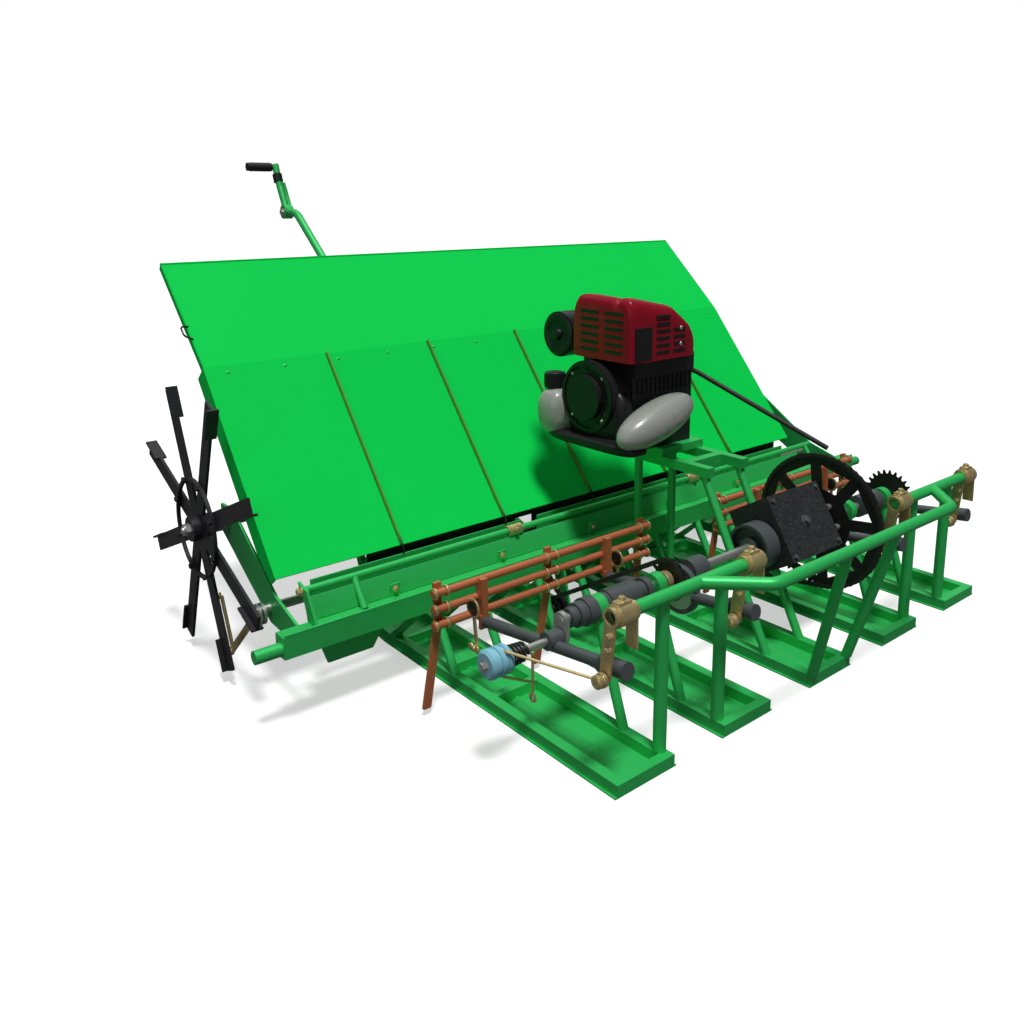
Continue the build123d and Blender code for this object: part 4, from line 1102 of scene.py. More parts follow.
@dataclass
class TrayDress:
    """Edge flanges, wire loop, rivets and spacer wires of the seedling tray."""

    shift: float = -60.0
    half: float = 697.0
    pitch: float = 230.0
    lip: Span = (541.0, 211.0)
    low_slope: float = 51.6
    low_length: float = 400.0
    high_slope: float = 43.8
    high_length: float = 248.0
    top_flange: Triple = (4.0, 9.0, 1.5)
    top_flange_lift: float = -2.0
    side_flange: Triple = (3.0, 12.0, 1.0)
    side_flange_lift: float = -6.0
    side_flange_from: float = 2.0
    wire_bends: Profile = ((26.0, 6.0), (-6.0, 8.0), (-16.0, 0.0))
    wire_r: float = 1.6
    wire_bend: float = 8.0
    loop_bends: tuple[Triple, ...] = (
        (4.0, 96.0, 0.0), (-12.0, 92.0, 6.0), (-12.0, 70.0, 6.0), (4.0, 66.0, 0.0),
    )
    loop_r: float = 1.8
    loop_bend: float = 7.0
    rivet_count: int = 13
    rivet_margin: float = 40.0
    rivet_back: float = 14.0
    rivet: Span = (3.4, 1.8)

    def on_low(self, across: float, along: float, lift: float) -> Array:
        """Place on the lower sheet, along it from the lip and lifted off it."""
        turn = radians(self.low_slope)
        ahead = self.lip[0] + along * cos(turn) - lift * sin(turn)
        return spot(across, ahead, self.lip[1] + along * sin(turn) + lift * cos(turn))

    def on_high(self, across: float, along: float, lift: float) -> Array:
        """Place on the upper sheet, along it from the fold and lifted off it."""
        base = self.on_low(across, self.low_length, 0.0)
        turn = radians(self.high_slope)
        step = np.array([0.0, along * cos(turn) - lift * sin(turn), along * sin(turn) + lift * cos(turn)])
        return base + step * MM

    def build(self, shop: Workshop) -> None:
        """Make the tray's pieces."""
        shop.piece("tray_edge_flanges", self.flanges(), Finish.GREEN_SHEET, "tray", bevel=0.5)
        shop.piece("tray_spacer_wires", self.wires(), Finish.BLACK_STEEL, "tray")
        shop.piece("tray_wire_loop", [self.loop()], Finish.BLACK_STEEL, "tray")
        shop.piece("tray_rivets", self.rivets(), Finish.GREEN, "tray")

    def flanges(self) -> list[Skin]:
        """Rolled edges along the tray's top and the upper sheet's sides."""
        left, right = self.shift - self.half, self.shift + self.half
        ends = [self.on_high(across, self.high_length, self.top_flange_lift) for across in (left, right)]
        skins = [sweep(np.stack(ends), rounded_section(*self.top_flange), UP)]
        inset = self.side_flange[0] / 2
        for edge in (left + inset, right - inset):
            places = (self.side_flange_from, self.high_length)
            run = np.stack([self.on_high(edge, along, self.side_flange_lift) for along in places])
            skins.append(sweep(run, rounded_section(*self.side_flange), UP))
        return skins

    def wires(self) -> list[Skin]:
        """Curved wire at the foot of each divider."""
        skins = []
        for row in range(-2, 3):
            across = self.shift + row * self.pitch
            corners = [self.on_low(across, along, lift) for along, lift in self.wire_bends]
            skins.append(sweep(eased_path(corners, self.wire_bend), disc_section(self.wire_r, 8), ACROSS))
        return skins

    def loop(self) -> Skin:
        """Small loop of wire at the upper sheet's left edge."""
        left = self.shift - self.half
        corners = [self.on_high(left + out, along, lift) for out, along, lift in self.loop_bends]
        return sweep(eased_path(corners, self.loop_bend), disc_section(self.loop_r, 8), UP)

    def rivets(self) -> list[Skin]:
        """Rivets along the fold between the two sheets."""
        normal = self.on_low(0, 0, 1) - self.on_low(0, 0, 0)
        reach = self.half - self.rivet_margin
        places = np.linspace(self.shift - reach, self.shift + reach, self.rivet_count)
        seats = [self.on_low(float(across), self.low_length - self.rivet_back, 0) for across in places]
        return [round_head(seat, normal, *self.rivet) for seat in seats]


@dataclass
class GateDress:
    """Screws, clamps, plates and black bands of painted shade along the gate tube and the beam."""

    tube: Span = (495.0, 200.0)
    tube_left: float = -735.0
    beam: Triple = (447.0, 477.0, 154.0)
    clamp_places: Span = (-300.0, 210.0)
    clamp_wide: float = 32.0
    clamp_r: Span = (10.5, 6.3)
    clamp_seat: Span = (-9.0, 4.0)
    clamp_bolt: Bolt = Bolt(8.0, 5.0, 6.5)
    tab_places: tuple[float, ...] = (-575.0, -345.0, -115.0, 115.0, 345.0, 575.0)
    tab_half: float = 9.0
    tab_tall: float = 22.0
    tab_foot: float = 0.5
    tab_from_edge: Span = (5.0, 1.0)
    tab_screw_up: float = 13.0
    tab_screw: Bolt = Bolt(8.0, 4.0, 6.0)
    end_bolt: Bolt = Bolt(10.0, 6.0, 8.0)
    top_tube: Span = (15.0, 263.0)
    top_tube_ends: Span = (-512.0, 484.0)
    # Radius of the dark discs that paint the shade inside the top tubes' open ends
    bore_r: float = 8.0
    chain_gap: Span = (-254.0, -210.0)
    back_x: Span = (-700.0, 600.0)
    back_y: Span = (532.0, 535.0)
    back_up: Span = (128.0, 198.0)
    # Black bands that paint the shade under the tray's lip
    shade_band_x: Span = (-584.0, 589.0)
    shade_band_y: Span = (548.0, 551.0)
    band_up: Span = (150.0, 210.0)
    shelf_thick: float = 3.0
    lap: float = 1.0
    bridge_lap: float = 2.0
    bridge_foot: float = 197.0
    rib_places: tuple[float, ...] = (-690.0, -460.0, -270.0, -200.0, 0.0, 230.0, 410.0, 590.0)
    rib_half: float = 2.0
    rib_up: Span = (130.0, 152.0)
    slope_x: Span = (-725.0, 600.0)
    slope_middle: Span = (483.0, 172.0)
    slope_way: Span = (14.0, 36.0)
    slope_section: Triple = (3.0, 38.0, 0.8)
    strip_half: float = 788.0
    strip_inset: float = 2.0
    strip_section: Triple = (4.0, 5.0, 1.2)

    def build(self, shop: Workshop) -> None:
        """Make the pieces under the tray's lip."""
        shop.piece("gate_clamps", self.clamps(), Finish.GOLD, "chassis", bevel=0.5)
        shop.piece("gate_tabs", self.tabs(), Finish.GREEN, "chassis", bevel=0.4)
        shop.piece("gate_screws", self.screws(), Finish.GOLD, "chassis")
        # Dark discs of painted shade at the top tubes' open ends
        shop.piece("tube_bore_shade_discs", self.bore_shade_discs(), Finish.BLACK_STEEL, "chassis")
        shop.piece("beam_strip", [self.strip()], Finish.GREEN, "chassis", bevel=0.5)
        shop.piece("gate_back_plates", self.back_plates(), Finish.GREEN, "chassis", bevel=0.4)
        shop.piece("gate_slope_plate", [self.slope_plate()], Finish.GREEN, "chassis", bevel=0.4)
        # Black bands of painted shade under the tray's lip
        shop.piece("lip_shade_bands", self.lip_shade_bands(), Finish.BLACK_PAINT, "chassis", bevel=0.4)
        shop.piece("gate_ribs", self.gate_ribs(), Finish.GREEN, "chassis", bevel=0.4)

    def clamps(self) -> list[Skin]:
        """Split clamp blocks round the tube."""
        skins = []
        ahead, up = self.tube
        for across in self.clamp_places:
            low = spot(across - self.clamp_wide / 2, ahead, up)
            skins.append(sleeve(low, low + ACROSS * self.clamp_wide * MM, *self.clamp_r))
            seat = spot(across, ahead + self.clamp_seat[0], up + self.clamp_seat[1])
            skins.append(self.clamp_bolt.head(seat, -AHEAD))
        return skins

    def tabs(self) -> list[Skin]:
        """Small upright tabs on the beam at an even pitch."""
        skins = []
        rear, front = (self.beam[1] - back for back in self.tab_from_edge)
        for across in self.tab_places:
            low = spot(across - self.tab_half, rear, self.beam[2] - self.tab_foot)
            skins.append(block(low, spot(across + self.tab_half, front, self.beam[2] + self.tab_tall)))
        return skins

    def screws(self) -> list[Skin]:
        """Screws in the tabs and at the tube's left end."""
        rear = self.beam[1] - self.tab_from_edge[0]
        seats = [spot(across, rear, self.beam[2] + self.tab_screw_up) for across in self.tab_places]
        skins = [self.tab_screw.head(seat, -AHEAD) for seat in seats]
        skins.append(self.end_bolt.head(spot(self.tube_left, *self.tube), -ACROSS))
        return skins

    def bore_shade_discs(self) -> list[Skin]:
        """Dark discs of painted shade that stand for the open ends of the top tubes, where their insides lie
        in shadow.
        """
        disc = ((-0.2, self.bore_r), (0.3, self.bore_r))
        ends = zip(self.top_tube_ends, (-ACROSS, ACROSS))
        return [turned(disc, spot(across, *self.top_tube), way, 24) for across, way in ends]

    def beside_chain(self, ends: Span) -> tuple[Span, Span]:
        """The two spans of a run that is open where the lay chain passes."""
        return (ends[0], self.chain_gap[0]), (self.chain_gap[1], ends[1])

    def back_plates(self) -> list[Skin]:
        """Upright plates ahead of the tube, with a gap where the lay chain runs."""
        rear, front = self.back_y
        foot, top = self.back_up
        spans = self.beside_chain(self.back_x)
        return [block(spot(low, rear, foot), spot(high, front, top)) for low, high in spans]

    def lip_shade_bands(self) -> list[Skin]:
        """Painted shade below the tray's lip: black bands, with shelves back to the plates and a bridge over
        the chain.
        """
        rear, front = self.shade_band_y
        foot, top = self.band_up
        skins = []
        for low, high in self.beside_chain(self.shade_band_x):
            skins.append(block(spot(low, rear, foot), spot(high, front, top)))
            shelf_low = spot(low, self.back_y[1] - self.lap, foot)
            skins.append(block(shelf_low, spot(high, rear + self.lap, foot + self.shelf_thick)))
        left, right = self.chain_gap
        low = spot(left - self.bridge_lap, rear, self.bridge_foot)
        skins.append(block(low, spot(right + self.bridge_lap, front, top)))
        return skins

    def gate_ribs(self) -> list[Skin]:
        """Upright ribs that carry the plates from the beam's front face."""
        rear, front = self.beam[1] - self.lap, self.back_y[0] + self.lap
        foot, top = self.rib_up
        half = self.rib_half
        return [block(spot(x - half, rear, foot), spot(x + half, front, top)) for x in self.rib_places]

    def slope_plate(self) -> Skin:
        """Flat plate that slopes from the beam's front edge up to the tube."""
        path = np.stack([spot(across, *self.slope_middle) for across in self.slope_x])
        return sweep(path, rounded_section(*self.slope_section), unit(np.array([0.0, *self.slope_way])))

    def strip(self) -> Skin:
        """Rolled strip along the beam's rear edge."""
        ahead, up = self.beam[0] + self.strip_inset, self.beam[2] + self.strip_inset
        path = np.stack([spot(-self.strip_half, ahead, up), spot(self.strip_half, ahead, up)])
        return sweep(path, rounded_section(*self.strip_section), UP)


@dataclass
class DriveDress:
    """Bolts of the gear housing and the big chain wheel's hub, and the crankshaft's bush and end disc."""

    shaft: Span = (156.0, 196.0)
    corner: Span = (150.0, 285.0)
    tilt: float = 59.0
    height: float = 125.0
    faces: Span = (4.0, 157.0)
    centre_bolt: Bolt = Bolt(13.0, 6.0, 11.0)
    corner_bolt: Bolt = Bolt(8.0, 4.0)
    corner_inset: float = 10.0
    hub_face: float = 184.5
    hub_count: int = 6
    hub_r: float = 40.0
    hub_bolt: Bolt = Bolt(8.0, 4.0, 6.0)
    bush_from: float = -262.0
    bush_long: float = 12.0
    bush_r: Span = (16.0, 8.2)
    shaft_end: float = -486.0
    end_disc: Profile = ((-0.4, 9.0), (0.6, 9.0), (1.0, 8.0))

    def build(self, shop: Workshop) -> None:
        """Make the pieces of the drive train."""
        end = turned(self.end_disc, spot(self.shaft_end, *self.shaft), -ACROSS, 24)
        shop.piece("housing_bolts", self.housing_bolts(), Finish.DARK_STEEL, "chassis")
        shop.piece("wheel_hub_bolts", self.hub_bolts(), Finish.BRIGHT_STEEL, "crank")
        shop.piece("shaft_bush", self.bushes(), Finish.GOLD, "crank")
        shop.piece("shaft_end_bolt", [end], Finish.BRIGHT_STEEL, "crank")

    def on_face(self, across: float, down: float) -> Array:
        """Place on the housing's sloping rear face."""
        turn = radians(self.tilt)
        return spot(across, self.corner[0] - down * cos(turn), self.corner[1] - down * sin(turn))

    def housing_bolts(self) -> list[Skin]:
        """Bolt head in the middle of the sloping face and four at its corners."""
        turn = radians(self.tilt)
        way = -sin(turn) * AHEAD + cos(turn) * UP
        skins = [self.centre_bolt.head(self.on_face(sum(self.faces) / 2, self.height / 2), way)]
        inset = self.corner_inset
        for across in (self.faces[0] + inset, self.faces[1] - inset):
            for down in (inset, self.height - inset):
                skins.append(self.corner_bolt.head(self.on_face(across, down), way))
        return skins

    def hub_bolts(self) -> list[Skin]:
        """Ring of bolts round the big chain wheel's hub."""
        centre = spot(self.hub_face, *self.shaft)
        return [self.hub_bolt.head(centre + out * self.hub_r * MM, -ACROSS) for out in spokes(self.hub_count)]

    def bushes(self) -> list[Skin]:
        """Gold bush on the shaft beside the drive wheel."""
        low = spot(self.bush_from, *self.shaft)
        return [sleeve(low, low + ACROSS * self.bush_long * MM, *self.bush_r)]


@dataclass
class RockerDress:
    """Clamp band, bolts and pin washers of one hanging rocker."""

    number: int
    across: float
    tube: Span = (15.0, 263.0)
    pin: Span = (25.0, 171.0)
    beside_wheel: int = 3
    pin_stack: Profile = (
        (0.0, 11.0), (5.0, 11.0), (6.0, 10.0), (6.0, 8.5), (9.0, 8.5), (9.0, 10.0), (13.0, 10.0), (15.0, 7.0),
    )
    stack_from: float = 24.0
    plate_face: float = 22.0
    bolt_shares: Span = (0.12, 0.42)
    bolt_back: float = 1.0
    bolt_top: float = 18.0
    bolt_run: float = 70.0
    plate_bolt: Bolt = Bolt(8.0, 4.5, 6.0)
    band_half: float = 14.0
    band_r: Span = (16.5, 14.0)
    lug_half: Span = (12.0, 7.0)
    lug_up: Span = (14.0, 19.0)
    lug_bolt: Bolt = Bolt(9.0, 5.0, 7.0)

    def build(self, shop: Workshop) -> None:
        """Make the rocker's pieces, on one side only where the big chain wheel turns beside it."""
        sides = (1,) if self.number == self.beside_wheel else (-1, 1)
        stack_seat = spot(self.across + sides[0] * self.stack_from, *self.pin)
        skins = [turned(self.pin_stack, stack_seat, sides[0] * ACROSS, 28)]
        for side in sides:
            skins += self.plate_bolts(side)
        skins += self.clamp_band()
        shop.piece("rocker_fittings_%d" % self.number, skins, Finish.GOLD, "rocker_%d" % self.number)

    def plate_bolts(self, side: int) -> list[Skin]:
        """Bolts down one side of the rocker's plates."""
        skins = []
        for share in self.bolt_shares:
            ahead = self.tube[0] + share * (self.pin[0] - self.tube[0]) - self.bolt_back
            up = self.tube[1] - self.bolt_top - share * self.bolt_run
            seat = spot(self.across + side * self.plate_face, ahead, up)
            skins.append(self.plate_bolt.head(seat, side * ACROSS))
        return skins

    def clamp_band(self) -> list[Skin]:
        """Band round the top tube, with its lug and bolt."""
        ahead, up = self.tube
        low = spot(self.across - self.band_half, ahead, up)
        across_half, ahead_half = self.lug_half
        lug_low = spot(self.across - across_half, ahead - ahead_half, up + self.lug_up[0])
        lug_high = spot(self.across + across_half, ahead + ahead_half, up + self.lug_up[1])
        return [
            sleeve(low, low + ACROSS * 2 * self.band_half * MM, *self.band_r),
            block(lug_low, lug_high),
            self.lug_bolt.head(spot(self.across, ahead, up + self.lug_up[1]), UP),
        ]


@dataclass
class PlanterDress:
    """Cap, spring, hook, rods, eye rings and rack rings of the planting arms at one side."""

    side: str
    sign: int
    outer: float
    inner: float = 220.0
    rack_ahead: float = 337.0
    rack_up: Triple = (152.0, 179.0, 206.0)
    pitch: float = 230.0
    pin: Span = (156.0, 172.0)
    cap_from: float = -587.0
    cap_profile: Profile = (
        (0.0, 12.0), (0.0, 20.0), (3.0, 22.0), (8.0, 22.0), (9.0, 19.5), (12.0, 19.5), (13.0, 22.0),
        (20.0, 22.0), (21.0, 19.5), (24.0, 19.5), (25.0, 22.0), (34.0, 22.0), (38.0, 18.0), (38.0, 8.0),
    )
    nose_from: float = -624.0
    nose: Bolt = Bolt(11.0, 6.0, 9.0)
    spring_x: Span = (-585.0, -556.0)
    spring_r: float = 14.5
    spring_wire: float = 2.4
    spring_turns: float = 4.5
    spring_taper: float = 0.15
    eye_off: float = 22.0
    eye: Span = (323.0, 168.0)
    eye_r: Span = (17.0, 12.5)
    eye_thick: float = 3.0
    disc: Profile = ((-1.0, 12.6), (1.0, 12.6), (2.0, 9.0))
    lever_run: Profile = ((321.0, 154.0), (315.0, 106.0))
    lever_section: Triple = (8.0, 2.5, 1.0)
    wing_middle: Span = (315.0, 104.0)
    wing_out: Span = (6.0, 8.0)
    wing_half: Triple = (2.5, 6.5, 7.0)
    wing_power: float = 0.9
    wing_hub: Profile = ((0.0, 5.0), (9.0, 5.0), (10.0, 4.0))
    needle: Triple = (-510.0, 190.0, 2.2)
    needle_up: Span = (140.0, 72.0)
    needle_eye_up: float = 66.0
    needle_eye_r: Span = (8.0, 4.2)
    needle_ring_up: Span = (138.0, 143.0)
    needle_ring_r: Span = (4.5, 2.0)
    rod_runs: tuple[tuple[Triple, ...], ...] = (
        ((-600.0, 178.0, 176.0), (-600.0, 145.0, 191.0), (-530.0, 25.0, 172.0)),
        ((-600.0, 178.0, 166.0), (-600.0, 150.0, 150.0), (-515.0, 177.0, 98.0)),
    )
    rod_bend: float = 8.0
    rod_r: float = 2.2
    arm_front: Span = (318.0, 140.0)
    arm_rear: Span = (2.0, 184.0)
    collar_from: float = 40.0
    collar_long: float = 10.0
    collar_r: Span = (14.5, 9.0)
    ring_off: float = 11.0
    ring_long: float = 4.0
    ring_r: Span = (9.5, 6.6)
    claw_seat: float = 12.5
    claw_bolt_up: Span = (165.0, 193.0)
    claw_bolt: Bolt = Bolt(8.0, 4.0, 6.0)

    def build(self, shop: Workshop) -> None:
        """Make the pieces of one planter."""
        body = self.side + "_planter"
        shop.piece("rack_rings_" + self.side, self.rings(), Finish.GOLD, body)
        shop.piece("claw_bolts_" + self.side, self.claw_bolts(), Finish.GOLD, body)
        shop.piece("rack_eyes_" + self.side, self.eyes(), Finish.GOLD, body)
        shop.piece("rack_eye_discs_" + self.side, self.discs(), Finish.BLACK_STEEL, body)
        shop.piece("arm_collars_" + self.side, self.collars(), Finish.DARK_STEEL, body)
        if self.side == "left":
            nose = self.nose.head(spot(self.nose_from, *self.pin), -ACROSS)
            shop.piece("pin_cap", [self.cap()], Finish.BLUE, body)
            shop.piece("pin_cap_nose", [nose], Finish.BRIGHT_STEEL, body)
            shop.piece("pin_spring", [self.spring()], Finish.BLACK_STEEL, body)
            shop.piece("pull_hook", self.hook(), Finish.GOLD, body)
            shop.piece("pull_rods", self.rods(), Finish.GOLD, body)

    def cap(self) -> Skin:
        """Grooved cap over the crank pin: the radius dips between three ribs."""
        return turned(self.cap_profile, spot(self.cap_from, *self.pin), -ACROSS, 40)

    def spring(self) -> Skin:
        """Coil spring on the pin, inboard of the cap."""
        start, end = (spot(across, *self.pin) for across in self.spring_x)
        return spring(start, end, self.spring_r, self.spring_wire, self.spring_turns, self.spring_taper)

    def eye_places(self) -> Span:
        """Places of the two eye rings across, each beside an arm and clear of the drive chain."""
        return self.outer + self.sign * self.eye_off, self.sign * self.inner + self.eye_off

    def eyes(self) -> list[Skin]:
        """Eye ring beside each arm's foot on the rack, with a flat lever down from it and a wing nut."""
        skins = []
        ahead, up = self.wing_middle
        for across in self.eye_places():
            low = spot(across - self.eye_thick / 2, *self.eye)
            skins.append(sleeve(low, low + ACROSS * self.eye_thick * MM, *self.eye_r))
            run = np.stack([spot(across, *place) for place in self.lever_run])
            skins.append(sweep(run, rounded_section(*self.lever_section), ACROSS))
            for side in (-1, 1):
                lobe = spot(across - self.wing_out[0], ahead + side * self.wing_out[1], up)
                skins.append(pebble(lobe, np.eye(3), self.wing_half, self.wing_power, 12))
            skins.append(turned(self.wing_hub, spot(across, ahead, up), -ACROSS, 16))
        return skins

    def discs(self) -> list[Skin]:
        """Dark disc inside each eye ring."""
        return [turned(self.disc, spot(across, *self.eye), -ACROSS, 28) for across in self.eye_places()]

    def hook(self) -> list[Skin]:
        """Needle that hangs below the lower rod's end, with an eye at its foot and a ring at its head."""
        across, ahead, radius = self.needle
        top, foot = (spot(across, ahead, up) for up in self.needle_up)
        eye = spot(across - self.eye_thick / 2, ahead, self.needle_eye_up)
        ring_low, ring_high = (spot(across, ahead, up) for up in self.needle_ring_up)
        return [
            rod(top, foot, radius, 10),
            sleeve(eye, eye + ACROSS * self.eye_thick * MM, *self.needle_eye_r, steps=20),
            sleeve(ring_low, ring_high, *self.needle_ring_r, steps=16),
        ]

    def rods(self) -> list[Skin]:
        """Two thin rods from the cap: the upper one to the rocker's end, the lower one to the hook."""
        paths = [eased_path([spot(*place) for place in run], self.rod_bend) for run in self.rod_runs]
        return [sweep(path, disc_section(self.rod_r, 8), UP) for path in paths]

    def collars(self) -> list[Skin]:
        """Ring where each arm's thick end meets the thin bar."""
        skins = []
        way = unit(np.array([0.0, *np.subtract(self.arm_front, self.arm_rear)]))
        for across in (self.sign * self.inner, self.outer):
            start = spot(across, *self.arm_rear) + way * self.collar_from * MM
            skins.append(sleeve(start, start + way * self.collar_long * MM, *self.collar_r))
        return skins

    def claw_places(self) -> list[float]:
        """Places of the three claws across."""
        return [self.sign * self.pitch * (row + 0.5) for row in range(3)]

    def rings(self) -> list[Skin]:
        """Eye rings and stop collars on the rack's bars beside each claw."""
        skins = []
        for centre in self.claw_places():
            for up in self.rack_up:
                for off in (-self.ring_off, self.ring_off):
                    low = spot(centre + off - self.ring_long / 2, self.rack_ahead, up)
                    skins.append(sleeve(low, low + ACROSS * self.ring_long * MM, *self.ring_r, steps=20))
        return skins

    def claw_bolts(self) -> list[Skin]:
        """Two bolts that clamp each claw to its bars."""
        ahead = self.rack_ahead + self.claw_seat
        seats = [spot(across, ahead, up) for across in self.claw_places() for up in self.claw_bolt_up]
        return [self.claw_bolt.head(seat, AHEAD) for seat in seats]


@dataclass
class WheelDress:
    """Hub nut, blade bolts and ratchet links at the machine's left end."""

    hub: Triple = (-822.0, 735.0, 258.0)
    hub_nut: Triple = (19.0, 8.0, 6.0)
    arms: int = 8
    first: float = 22.5
    bolt_face: float = -813.5
    bolt_r: float = 86.0
    blade_bolt: Bolt = Bolt(9.0, 4.0)
    link_x: float = -779.0
    link_step: float = 4.0
    link_runs: tuple[tuple[Span, Span], ...] = (
        ((727.0, 126.0), (690.0, 35.0)),
        ((690.0, 35.0), (593.0, 124.0)),
    )
    link_section: Triple = (3.0, 14.0, 1.0)
    link_bolt: Bolt = Bolt(9.0, 4.0, 7.0)

    def build(self, shop: Workshop) -> None:
        """Make the pieces round the left wheel."""
        hub_nut = nut(spot(*self.hub), -ACROSS, *self.hub_nut)
        shop.piece("wheel_nut", [hub_nut], Finish.BRIGHT_STEEL, "left_wheel")
        shop.piece("blade_bolts", self.blade_bolts(), Finish.BLACK_STEEL, "left_wheel")
        shop.piece("ratchet_links", self.links(), Finish.GOLD, "chassis", bevel=0.5)

    def blade_bolts(self) -> list[Skin]:
        """Bolts where each arm meets the ring."""
        centre = spot(self.bolt_face, *self.hub[1:])
        outs = spokes(self.arms, self.first)
        return [self.blade_bolt.head(centre + out * self.bolt_r * MM, -ACROSS) for out in outs]

    def links(self) -> list[Skin]:
        """Two flat links from the wheel plate down and back to the lay shaft's end."""
        skins = []
        half_thick = self.link_section[0] / 2
        for level, run in enumerate(self.link_runs):
            path = np.stack([spot(self.link_x - self.link_step * level, *place) for place in run])
            lift = np.cross(ACROSS, unit(path[1] - path[0]))
            skins.append(sweep(path, rounded_section(*self.link_section), lift))
            skins += [self.link_bolt.head(place - ACROSS * half_thick * MM, -ACROSS) for place in path]
        return skins


@dataclass
class SkidDress:
    """Low crease along the sole of each skid."""

    rows: tuple[float, ...] = (-460.0, -230.0, 0.0, 230.0, 460.0)
    run: Span = (18.0, 590.0)
    sole_up: float = 2.0
    section: Profile = ((-7.0, -0.3), (7.0, -0.3), (2.5, 3.0), (-2.5, 3.0))

    def build(self, shop: Workshop) -> None:
        """Make the creases."""
        for number, across in enumerate(self.rows, start=1):
            shop.piece("skid_crease_%d" % number, [self.crease(across)], Finish.GREEN, "chassis")

    def crease(self, across: float) -> Skin:
        """Low ridge along the middle of the sole."""
        path = np.stack([spot(across, ahead, self.sole_up) for ahead in self.run])
        return sweep(path, np.array(self.section) * MM, UP)


@dataclass
class HandleDress:
    """Clamp, fold bolt, lever and grip ribs of the handle."""

    hinge: Span = (2025.0, 783.0)
    hinge_half: float = 14.0
    fold: Bolt = Bolt(15.0, 7.0, 12.0)
    grip: Span = (2093.0, 925.0)
    grip_x: Span = (-88.0, -20.0)
    rib_pitch: float = 6.0
    rib_long: float = 3.0
    rib_r: Span = (14.2, 12.6)
    clamp_from: Triple = (0.0, 2074.0, 878.0)
    clamp_way: Triple = (0.0, 27.0, 71.0)
    clamp_long: float = 26.0
    clamp_r: Span = (15.0, 11.2)
    lever_bends: tuple[Triple, ...] = ((17.0, 2076.0, 876.0), (20.0, 2060.0, 835.0), (17.0, 2036.0, 800.0))
    lever_bend: float = 14.0
    lever_section: Triple = (4.0, 12.0, 1.2)

    def build(self, shop: Workshop) -> None:
        """Make the handle's pieces."""
        shop.piece("fold_bolt", self.bolt(), Finish.BRIGHT_STEEL, "chassis")
        shop.piece("grip_ribs", self.ribs(), Finish.RUBBER, "chassis")
        shop.piece("handle_clamp", [self.clamp()], Finish.BLACK_PLASTIC, "chassis")
        shop.piece("fold_lever", [self.lever()], Finish.GREEN, "chassis")

    def bolt(self) -> list[Skin]:
        """Bolt heads on the two faces of the hinge disc."""
        sides = (-1, 1)
        return [self.fold.head(spot(side * self.hinge_half, *self.hinge), side * ACROSS) for side in sides]

    def ribs(self) -> list[Skin]:
        """Rings round the grip at an even pitch."""
        skins = []
        for across in np.arange(*self.grip_x, self.rib_pitch):
            low = spot(float(across), *self.grip)
            skins.append(sleeve(low, low + ACROSS * self.rib_long * MM, *self.rib_r, steps=28))
        return skins

    def clamp(self) -> Skin:
        """Band round the upper tube below the bend."""
        start = spot(*self.clamp_from)
        return sleeve(start, start + unit(np.array(self.clamp_way)) * self.clamp_long * MM, *self.clamp_r)

    def lever(self) -> Skin:
        """Bent flat lever from the clamp to the hinge."""
        corners = [spot(*place) for place in self.lever_bends]
        return sweep(eased_path(corners, self.lever_bend), rounded_section(*self.lever_section), ACROSS)


